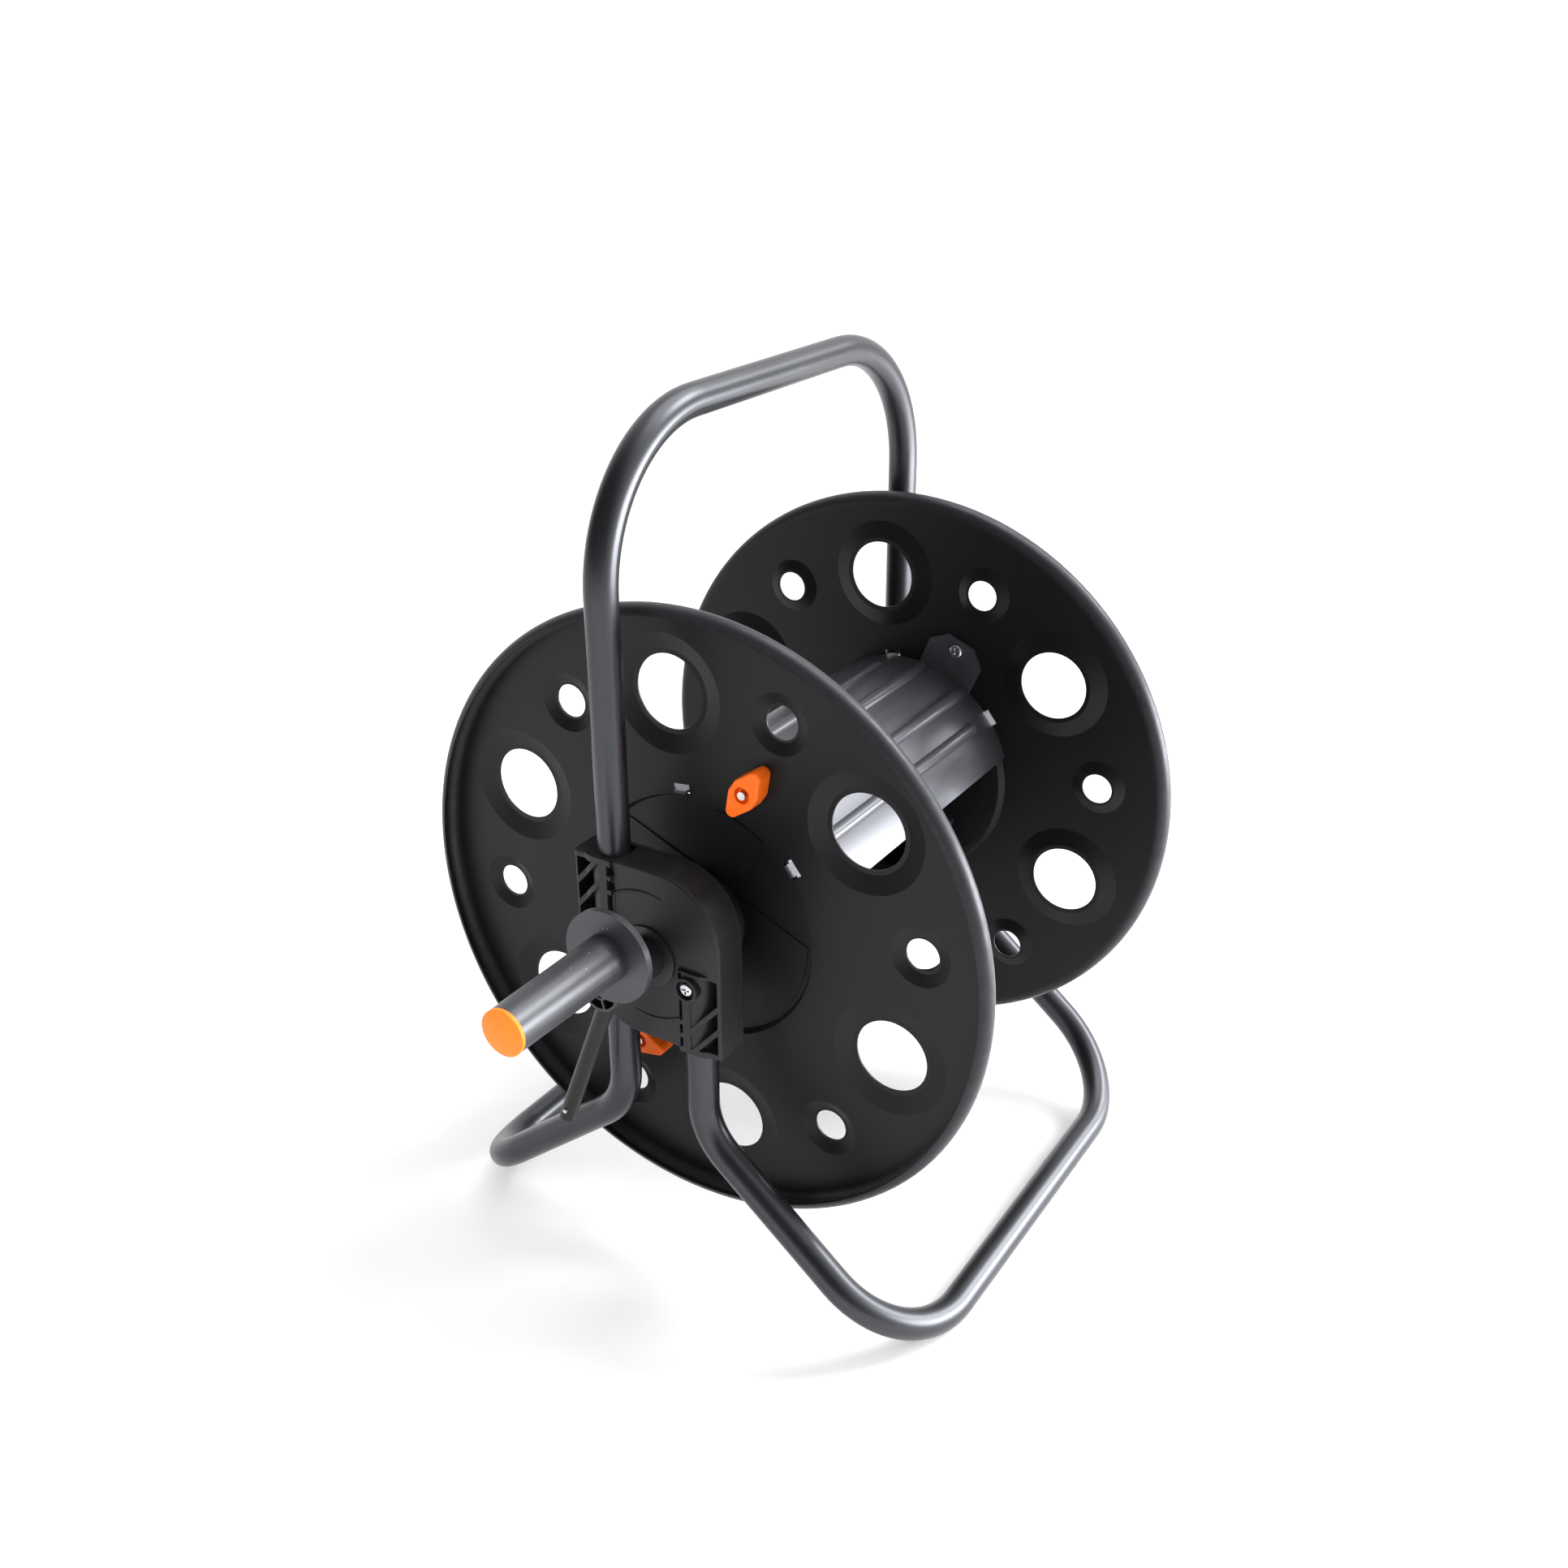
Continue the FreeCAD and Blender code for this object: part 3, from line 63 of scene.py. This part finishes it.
EYE = Vector((0.4875, -0.7582, 0.7275))
HEADING = math.radians(32.17)
TILT_DOWN = math.radians(25.58)
ROLL = math.radians(0.15)
FOCAL = 37.43
SENSOR = 36.0
NEAREST = 0.05
FARTHEST = 40

camera_data = bpy.data.cameras.new("camera")
camera_data.lens = FOCAL
camera_data.sensor_width = SENSOR
camera_data.clip_start = NEAREST
camera_data.clip_end = FARTHEST
camera = bpy.data.objects.new("camera", camera_data)
camera.location = EYE
camera.rotation_euler = Euler((math.pi / 2 - TILT_DOWN, ROLL, HEADING), "XYZ")
bpy.context.scene.collection.objects.link(camera)
bpy.context.scene.camera = camera


def linear(code):
    """An sRGB hex colour as the linear colour that a socket takes."""
    parts = [int(code[i:i + 2], 16) / 255 for i in (1, 3, 5)]
    return [p / 12.92 if p <= 0.04045 else ((p + 0.055) / 1.055) ** 2.4 for p in parts] + [1.0]


def per_metre(millimetres):
    """The texture scale that makes one pattern cell this many millimetres wide."""
    return 1000 / millimetres


def add(tree, kind, inputs=None, **settings):
    """Add a node with its settings; each input is a plain value or another node's output."""
    node = tree.nodes.new(kind)
    for name, setting in settings.items():
        setattr(node, name, setting)
    for socket, given in (inputs or {}).items():
        if isinstance(given, bpy.types.NodeSocket):
            tree.links.new(given, node.inputs[socket])
        else:
            node.inputs[socket].default_value = given
    return node


def start_material(name, sockets):
    """A new material with its shader, the plain sockets set, and its object coordinates."""
    material = bpy.data.materials.new(name)
    material.use_nodes = True
    tree = material.node_tree
    shader = tree.nodes["Principled BSDF"]
    for socket, given in sockets.items():
        shader.inputs[socket].default_value = given
    place = add(tree, "ShaderNodeTexCoord").outputs["Object"]
    return material, tree, shader, place


def drift(tree, shader, pattern, tones, gloss=None):
    """Let a pattern carry the colour from one tone to the other, and with it the roughness.

    Both outputs come back, so that a layer of wear can be laid over them.
    """
    tone = add(tree, "ShaderNodeMix", {0: pattern, 6: linear(tones[0]), 7: linear(tones[1])},
               data_type="RGBA").outputs[2]
    tree.links.new(tone, shader.inputs["Base Color"])
    if gloss is None:
        return tone, None
    rough = add(tree, "ShaderNodeMapRange", {
        "Value": pattern, "To Min": gloss[0], "To Max": gloss[1]}).outputs["Result"]
    tree.links.new(rough, shader.inputs["Roughness"])
    return tone, rough


# The paper's fibres are too fine to show, so its cloudiness is drawn 40 mm wide. The sheet runs
# on to the horizon.
FLOOR_HALF = 150.0
PAPER_CLOUD = 40

paper, tree, shader, place = start_material("matt_white_paper", {"Roughness": 0.9, "IOR": 1.5})
fibre = add(tree, "ShaderNodeTexNoise", {"Vector": place, "Scale": per_metre(PAPER_CLOUD), "Detail": 3})
drift(tree, shader, fibre.outputs["Fac"], tones=("#f4f4f5", "#f8f8f8"))

floor_mesh = bpy.data.meshes.new("floor")
sheet = bmesh.new()
bmesh.ops.create_grid(sheet, x_segments=8, y_segments=8, size=FLOOR_HALF)
sheet.to_mesh(floor_mesh)
sheet.free()
floor = bpy.data.objects.new("floor", floor_mesh)
floor.data.materials.append(paper)
bpy.context.scene.collection.objects.link(floor)

# The room is white behind, above and beside the reel, and dim on the side of the stand, where
# only the reel's reflections meet the dark. Seen directly, the backdrop is white all round.
STAND_SIDE = Vector((-0.15, -0.98, 0.05)).normalized()
BRIGHT_WALL = 1.25
DARK_WALL = 0.04
FADE_START = -0.2
FADE_END = 0.55

world = bpy.data.worlds.new("white_room")
world.use_nodes = True
sky = world.node_tree
background = sky.nodes["Background"]
direction = add(sky, "ShaderNodeTexCoord").outputs["Generated"]
towards_stand = add(sky, "ShaderNodeVectorMath", {0: direction, 1: STAND_SIDE}, operation="DOT_PRODUCT")
room = add(sky, "ShaderNodeMapRange", {
    "Value": towards_stand.outputs["Value"], "From Min": FADE_START, "From Max": FADE_END,
    "To Min": BRIGHT_WALL, "To Max": DARK_WALL}, interpolation_type="SMOOTHSTEP")
seen = add(sky, "ShaderNodeLightPath").outputs["Is Camera Ray"]
backdrop = add(sky, "ShaderNodeMath", {0: room.outputs["Result"], 1: seen}, operation="MAXIMUM")
sky.links.new(backdrop.outputs[0], background.inputs["Strength"])
background.inputs["Color"].default_value = linear("#ffffff")
bpy.context.scene.world = world
bpy.context.scene.view_settings.view_transform = "Standard"

KEY_FROM = Vector((0.75, 1.0, 0.95))
KEY_SPREAD = math.radians(22)
KEY_STRENGTH = 2.4

key = bpy.data.lights.new("far_key", "SUN")
key.angle = KEY_SPREAD
key.energy = KEY_STRENGTH
key_holder = bpy.data.objects.new("far_key", key)
key_holder.rotation_euler = KEY_FROM.to_track_quat("Z", "Y").to_euler()
bpy.context.scene.collection.objects.link(key_holder)

SOFT_BOXES = {
    "strip": {"at": (1.3, 0.75, 0.32), "wide": 1.1, "tall": 0.5, "watts": 48, "mirrored": True},
    "overhead": {"at": (0.2, 0.5, 1.5), "wide": 0.9, "tall": 0.9, "watts": 10, "mirrored": True},
    "fill": {"at": (0.1, -1.5, 1.0), "wide": 1.2, "tall": 1.2, "watts": 16, "mirrored": False},
}
reel_middle = (cad_low + cad_high) / 2
for name, box in SOFT_BOXES.items():
    lamp = bpy.data.lights.new(name, "AREA")
    lamp.shape = "RECTANGLE"
    lamp.size = box["wide"]
    lamp.size_y = box["tall"]
    lamp.energy = box["watts"]
    holder = bpy.data.objects.new(name, lamp)
    holder.location = box["at"]
    holder.rotation_euler = (reel_middle - holder.location).to_track_quat("-Z", "Y").to_euler()
    holder.visible_glossy = box["mirrored"]
    bpy.context.scene.collection.objects.link(holder)

# ---- Frame tubes -----------------------------------------------------------------------------
# Three 19 mm mild-steel tubes, bent cold and powder-coated in a silver-grey metallic. The coat
# is satin with a faint orange peel, and rubbed dull where the feet stand on the ground.

MOTTLE = 55
PEEL = 1.4
RUB_HEIGHT = 0.004
RUB = 0.7
# The metallic flake is far finer than this, and is drawn as coarse as it needs to show.
FLAKE = 0.7
FLAKE_SHARE = 0.12
# The depth of a sprayed or moulded grain, before its own strength scales it down. A real grain is
# mostly finer than the cells given for it, and is drawn as coarse as it needs to show.
GRAIN_DEPTH = 0.0002


def grain(tree, shader, place, cell, strength, detail=2, edge=None):
    """Raise a fine grain, its cells given in millimetres, over edges softened to a radius."""
    bumps = add(tree, "ShaderNodeTexNoise", {"Vector": place, "Scale": per_metre(cell), "Detail": detail})
    surface = {"Height": bumps.outputs["Fac"], "Strength": strength, "Distance": GRAIN_DEPTH}
    if edge is not None:
        surface["Normal"] = add(tree, "ShaderNodeBevel", {"Radius": edge}, samples=4).outputs["Normal"]
    raised = add(tree, "ShaderNodeBump", surface)
    tree.links.new(raised.outputs["Normal"], shader.inputs["Normal"])


def dress(material, *names):
    """Give a CAD node's surfaces a material."""
    for name in names:
        slots = nodes[name].material_slots
        if not slots:
            nodes[name].data.materials.append(material)
        for slot in slots:
            slot.material = material


silver_coat, tree, shader, place = start_material(
    "silver_powder_coat_on_steel", {"Metallic": 0.85, "Coat Weight": 0.1, "Coat Roughness": 0.3})
mottle = add(tree, "ShaderNodeTexNoise", {"Vector": place, "Scale": per_metre(MOTTLE), "Detail": 4})
coat_tone, coat_gloss = drift(tree, shader, mottle.outputs["Fac"], tones=("#3a3b3f", "#444549"),
                              gloss=(0.3, 0.38))
flake = add(tree, "ShaderNodeTexNoise", {"Vector": place, "Scale": per_metre(FLAKE), "Detail": 1})
flake_tone = add(tree, "ShaderNodeMix", {0: FLAKE_SHARE, 6: coat_tone, 7: flake.outputs["Color"]},
                 data_type="RGBA", blend_type="SOFT_LIGHT")
tube_height = add(tree, "ShaderNodeSeparateXYZ", {0: place}).outputs["Z"]
rubbed = add(tree, "ShaderNodeMapRange", {
    "Value": tube_height, "From Min": 0.0, "From Max": RUB_HEIGHT, "To Min": RUB, "To Max": 0.0})
worn_tone = add(tree, "ShaderNodeMix", {
    0: rubbed.outputs["Result"], 6: flake_tone.outputs[2], 7: linear("#4c4a48")}, data_type="RGBA")
tree.links.new(worn_tone.outputs[2], shader.inputs["Base Color"])
dulled = add(tree, "ShaderNodeMath", {0: coat_gloss, 1: rubbed.outputs["Result"]}, operation="ADD")
tree.links.new(dulled.outputs[0], shader.inputs["Roughness"])
grain(tree, shader, place, cell=PEEL, strength=0.12)
dress(silver_coat, "handle_tube", "front_foot_tube", "rear_foot_tube")

# ---- Pressed discs ---------------------------------------------------------------------------
# Two discs of thin steel sheet, pressed with dished holes and a rolled rim, and stoved in satin
# black enamel. The enamel is thin and slightly brighter where the rim rubs on hands and ground.

joints = {joint["name"]: joint for joint in frame["joints"]}
_, middle_y, axis_height = joints["reel_spin"]["pos_m"]
ENAMEL_CLOUD = 80
ENAMEL_GRIT = 1.1
RIM_START = 0.186
RIM_WIDE = 0.008
SCUFF = 9
SCUFF_LEAST = 0.45
SCUFF_MOST = 0.8
# A noise pattern's values lie mostly between these two.
NOISE_LOW = 0.3
NOISE_HIGH = 0.7

black_enamel, tree, shader, place = start_material(
    "satin_black_enamel_on_pressed_steel", {"IOR": 1.5, "Specular IOR Level": 0.22})
enamel_cloud = add(tree, "ShaderNodeTexNoise", {
    "Vector": place, "Scale": per_metre(ENAMEL_CLOUD), "Detail": 5})
enamel_tone, _ = drift(tree, shader, enamel_cloud.outputs["Fac"], tones=("#0e0e10", "#151517"),
                       gloss=(0.36, 0.46))
from_axis = add(tree, "ShaderNodeVectorMath", {0: place, 1: (0.0, 0.0, axis_height)}, operation="SUBTRACT")
flat = add(tree, "ShaderNodeVectorMath", {0: from_axis.outputs[0], 1: (1.0, 0.0, 1.0)},
           operation="MULTIPLY")
radius = add(tree, "ShaderNodeVectorMath", {0: flat.outputs[0]}, operation="LENGTH").outputs["Value"]
rim = add(tree, "ShaderNodeMapRange", {
    "Value": radius, "From Min": RIM_START, "From Max": RIM_START + RIM_WIDE, "To Max": 1.0})
scuff = add(tree, "ShaderNodeTexNoise", {
    "Vector": place, "Scale": per_metre(SCUFF), "Detail": 6, "Roughness": 0.65})
scuffed = add(tree, "ShaderNodeMapRange", {
    "Value": scuff.outputs["Fac"], "From Min": NOISE_LOW, "From Max": NOISE_HIGH,
    "To Min": SCUFF_LEAST, "To Max": SCUFF_MOST})
rim_wear = add(tree, "ShaderNodeMath", {0: rim.outputs["Result"], 1: scuffed.outputs["Result"]},
               operation="MULTIPLY")
disc_tone = add(tree, "ShaderNodeMix", {
    0: rim_wear.outputs[0], 6: enamel_tone, 7: linear("#4a4b4f")}, data_type="RGBA")
tree.links.new(disc_tone.outputs[2], shader.inputs["Base Color"])
tree.links.new(rim_wear.outputs[0], shader.inputs["Metallic"])
grain(tree, shader, place, cell=ENAMEL_GRIT, strength=0.1)
dress(black_enamel, "crank_side_disc", "water_side_disc")

# ---- Drum ------------------------------------------------------------------------------------
# Two curved panels moulded in grey polypropylene with long stiffening ribs, hooked into the
# discs by tabs. The moulding is satin with a soft shine and faint flow marks along it.

FLOW_LONG = 60
FLOW_WIDE = 6
DRUM_GRAIN = 0.9

grey_moulding, tree, shader, place = start_material(
    "satin_grey_polypropylene", {
        "Metallic": 0.6, "IOR": 1.49, "Coat Weight": 0.1, "Coat Roughness": 0.3})
stretch = add(tree, "ShaderNodeMapping", {"Vector": place, "Scale": (
    per_metre(FLOW_WIDE), per_metre(FLOW_LONG), per_metre(FLOW_WIDE))})
flow = add(tree, "ShaderNodeTexNoise", {"Vector": stretch.outputs["Vector"], "Scale": 1.0, "Detail": 3})
drift(tree, shader, flow.outputs["Fac"], tones=("#4a4b50", "#56575c"), gloss=(0.3, 0.42))
grain(tree, shader, place, cell=DRUM_GRAIN, strength=0.1)
dress(grey_moulding, "upper_drum_panel", "lower_drum_panel")

# ---- Brackets --------------------------------------------------------------------------------
# Each end has a deep shell and a flat back plate moulded in black polypropylene, spark-textured
# so that it stays dull. The mould leaves every edge slightly round, and light catches on it.

BRACKET_CLOUD = 25
# Spark grain is about 0.1 mm wide, and is drawn as coarse as it needs to show.
SPARK = 0.8

black_moulding, tree, shader, place = start_material(
    "spark_textured_black_polypropylene", {"IOR": 1.49, "Specular IOR Level": 0.35})
bracket_cloud = add(tree, "ShaderNodeTexNoise", {
    "Vector": place, "Scale": per_metre(BRACKET_CLOUD), "Detail": 5})
drift(tree, shader, bracket_cloud.outputs["Fac"], tones=("#18181a", "#212124"), gloss=(0.42, 0.54))
grain(tree, shader, place, cell=SPARK, strength=0.2, detail=3, edge=0.0008)
dress(black_moulding, "crank_side_bracket", "water_side_bracket", "crank_side_back_plate",
      "water_side_back_plate")

# Two raised beads on each shell's face follow a circle about the hub, moulded with the shell.
# Each begins beside a tube collar and sinks into the face further round.

BEAD_RADIUS = 0.0405
BEAD_WIDE = 0.0022
BEAD_HIGH = 0.0011
BEAD_STEPS = 48
BEAD_SIDES = 6
BEAD_SPAN = math.radians(54)
BEAD_START = {"upper": math.radians(-34), "lower": math.radians(146)}
BUSH_LIP = 0.0014
FACE_ROOT = 0.0002

bush_low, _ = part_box("crank_side_bush")
face_out = middle_y - bush_low.y - BUSH_LIP


def bead(name, start, side):
    """A half-round bead along an arc on the shell's face, its height fading to its end."""
    mesh = bpy.data.meshes.new(name)
    shape = bmesh.new()
    rows = []
    for step in range(BEAD_STEPS + 1):
        share = step / BEAD_STEPS
        angle = start + BEAD_SPAN * share
        swell = 1 - share ** 3
        row = []
        for across in range(BEAD_SIDES + 1):
            turn = math.pi * across / BEAD_SIDES
            reach = BEAD_RADIUS - math.cos(turn) * BEAD_WIDE / 2
            out = face_out - FACE_ROOT + math.sin(turn) * BEAD_HIGH * swell
            row.append(shape.verts.new((reach * math.sin(angle), middle_y + side * out,
                                        axis_height + reach * math.cos(angle))))
        rows.append(row)
    for before, after in zip(rows, rows[1:]):
        for index in range(BEAD_SIDES):
            shape.faces.new((before[index], before[index + 1], after[index + 1], after[index]))
        shape.faces.new((before[-1], before[0], after[0], after[-1]))
    shape.faces.new(rows[0])
    shape.faces.new(reversed(rows[-1]))
    bmesh.ops.recalc_face_normals(shape, faces=shape.faces)
    for face in shape.faces:
        face.smooth = True
    shape.to_mesh(mesh)
    shape.free()
    mesh.materials.append(black_moulding)
    piece = bpy.data.objects.new(name, mesh)
    bpy.context.scene.collection.objects.link(piece)
    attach(piece, "frame")


for level, start in BEAD_START.items():
    bead(f"crank_side_{level}_bead", start, -1)
    bead(f"water_side_{level}_bead", start, 1)

# ---- Bearings, hubs and water fittings -------------------------------------------------------
# The hub, axle and elbows are black nylon mouldings with a low shine. The bushes and washers are
# turned from black acetal with faint tool lines, and the seals are dull nitrile rubber.

NYLON_CLOUD = 14
NYLON_GRAIN = 0.7

black_nylon, tree, shader, place = start_material("black_nylon_moulding", {"IOR": 1.53})
nylon_cloud = add(tree, "ShaderNodeTexNoise", {
    "Vector": place, "Scale": per_metre(NYLON_CLOUD), "Detail": 4})
drift(tree, shader, nylon_cloud.outputs["Fac"], tones=("#18181a", "#242427"), gloss=(0.3, 0.45))
grain(tree, shader, place, cell=NYLON_GRAIN, strength=0.1, edge=0.0005)
dress(black_nylon, "crank_hub", "water_axle", "outlet_elbow", "inlet_elbow")

TOOL_LINE = 0.754
# At a scale of 1 this pattern's lines are a twentieth of math.tau apart.
LINE_PITCH = math.tau / 20

black_acetal, tree, shader, place = start_material("turned_black_acetal", {"IOR": 1.48})
turning = add(tree, "ShaderNodeTexWave", {
    "Vector": place, "Scale": per_metre(TOOL_LINE) * LINE_PITCH, "Distortion": 0.4},
    wave_type="RINGS", rings_direction="Y")
drift(tree, shader, turning.outputs["Fac"], tones=("#1b1b1d", "#232325"), gloss=(0.32, 0.4))
dress(black_acetal, "crank_side_bush", "water_side_bush", "crank_side_washer", "water_side_washer")

RUBBER_BLOOM = 3

nitrile, tree, shader, place = start_material("black_nitrile_rubber", {"IOR": 1.52, "Roughness": 0.7})
bloom = add(tree, "ShaderNodeTexNoise", {"Vector": place, "Scale": per_metre(RUBBER_BLOOM), "Detail": 3})
drift(tree, shader, bloom.outputs["Fac"], tones=("#161617", "#1f1f20"))
dress(nitrile, "axle_seals")

# ---- Screws, clip and pins -------------------------------------------------------------------
# Steel fixings, cold-headed and bright zinc-plated. The plating is thin and a little cloudy,
# with a faint blue cast.

ZINC_CLOUD = 1.5
ZINC_DEPTH = 0.0001

zinc, tree, shader, place = start_material("bright_zinc_plate_on_steel", {"Metallic": 1.0})
plating = add(tree, "ShaderNodeTexNoise", {"Vector": place, "Scale": per_metre(ZINC_CLOUD), "Detail": 4})
drift(tree, shader, plating.outputs["Fac"], tones=("#c3c6cc", "#dcdddf"), gloss=(0.18, 0.34))
zinc_bump = add(tree, "ShaderNodeBump", {
    "Height": plating.outputs["Fac"], "Strength": 0.15, "Distance": ZINC_DEPTH})
tree.links.new(zinc_bump.outputs["Normal"], shader.inputs["Normal"])
dress(zinc, "bracket_screws", "drum_screws", "hub_screws", "inlet_clip", "arm_stop_pin",
      "grip_push_nut")

# ---- Wing nuts and grip cap ------------------------------------------------------------------
# Injection-moulded polypropylene with a fine matt grain, a red orange for the wing nuts and a
# yellower one for the cap. A little light soaks into the thin wings and glows in their edges.

ORANGE_CLOUD = 7
ORANGE_GRAIN = 0.6
SOAK = 0.0015
ORANGES = {
    "red_orange_moulded_polypropylene": {
        "tones": ("#f4600c", "#ff7416"),
        "on": ("crank_upper_wing_nut", "crank_lower_wing_nut", "water_upper_wing_nut",
               "water_lower_wing_nut")},
    "yellow_orange_moulded_polypropylene": {"tones": ("#f6760b", "#ff8517"), "on": ("grip_cap",)},
}
for name, batch in ORANGES.items():
    orange, tree, shader, place = start_material(name, {
        "IOR": 1.49, "Specular IOR Level": 0.3, "Subsurface Weight": 0.12,
        "Subsurface Scale": SOAK, "Subsurface Radius": (1.0, 0.35, 0.1)})
    orange_cloud = add(tree, "ShaderNodeTexNoise", {
        "Vector": place, "Scale": per_metre(ORANGE_CLOUD), "Detail": 4})
    drift(tree, shader, orange_cloud.outputs["Fac"], tones=batch["tones"], gloss=(0.38, 0.5))
    grain(tree, shader, place, cell=ORANGE_GRAIN, strength=0.35, edge=0.0006)
    dress(orange, *batch["on"])

# ---- Crank rod -------------------------------------------------------------------------------
# A 10 mm steel rod bent square and dipped in satin black paint, with a few long scratches from
# its sliding through the hub.

PAINT_CLOUD = 20
SCRATCH_LONG = 30
SCRATCH_WIDE = 1.2
SCRATCH_DEPTH = 0.0001
# Only the highest peaks of the pattern are scratches, and they show half through the paint.
SCRATCH_FROM = 0.68
SCRATCH_FULL = 0.8
SCRATCH_SHOWS = 0.5

black_paint, tree, shader, place = start_material(
    "satin_black_paint_on_steel_rod", {"IOR": 1.5, "Specular IOR Level": 0.3})
paint_cloud = add(tree, "ShaderNodeTexNoise", {
    "Vector": place, "Scale": per_metre(PAINT_CLOUD), "Detail": 4})
paint_tone, _ = drift(tree, shader, paint_cloud.outputs["Fac"], tones=("#0e0e10", "#161618"),
                      gloss=(0.38, 0.5))
along_rod = add(tree, "ShaderNodeMapping", {"Vector": place, "Scale": (
    per_metre(SCRATCH_WIDE), per_metre(SCRATCH_WIDE), per_metre(SCRATCH_LONG))})
scratch = add(tree, "ShaderNodeTexNoise", {
    "Vector": along_rod.outputs["Vector"], "Scale": 1.0, "Detail": 2})
scratched = add(tree, "ShaderNodeMapRange", {
    "Value": scratch.outputs["Fac"], "From Min": SCRATCH_FROM, "From Max": SCRATCH_FULL,
    "To Max": SCRATCH_SHOWS})
rod_tone = add(tree, "ShaderNodeMix", {
    0: scratched.outputs["Result"], 6: paint_tone, 7: linear("#6b6b6e")}, data_type="RGBA")
tree.links.new(rod_tone.outputs[2], shader.inputs["Base Color"])
rod_bump = add(tree, "ShaderNodeBump", {
    "Height": scratch.outputs["Fac"], "Strength": 0.08, "Distance": SCRATCH_DEPTH})
tree.links.new(rod_bump.outputs["Normal"], shader.inputs["Normal"])
dress(black_paint, "crank_arm")

# ---- Grip ------------------------------------------------------------------------------------
# A tapered sleeve with a round flange, moulded in grey polypropylene with a metallic fleck.
# Handling has polished it, and a few pale specks show in the surface.

GRIP_CLOUD = 18
GRIP_GRAIN = 0.8
SPECK_PITCH = 6
# A speck's radius, as a share of the pitch.
SPECK_SIZE = 0.045

grip_moulding, tree, shader, place = start_material(
    "flecked_grey_polypropylene", {
        "Metallic": 0.6, "IOR": 1.49, "Coat Weight": 0.1, "Coat Roughness": 0.3})
grip_cloud = add(tree, "ShaderNodeTexNoise", {"Vector": place, "Scale": per_metre(GRIP_CLOUD), "Detail": 5})
grip_tone, _ = drift(tree, shader, grip_cloud.outputs["Fac"], tones=("#3e3f43", "#4b4c50"),
                     gloss=(0.3, 0.46))
cells = add(tree, "ShaderNodeTexVoronoi", {"Vector": place, "Scale": per_metre(SPECK_PITCH)})
speck = add(tree, "ShaderNodeMath", {0: cells.outputs["Distance"], 1: SPECK_SIZE}, operation="LESS_THAN")
specked = add(tree, "ShaderNodeMix", {0: speck.outputs[0], 6: grip_tone, 7: linear("#d8d8da")},
              data_type="RGBA")
tree.links.new(specked.outputs[2], shader.inputs["Base Color"])
grain(tree, shader, place, cell=GRIP_GRAIN, strength=0.15, detail=3)
dress(grip_moulding, "grip_sleeve")
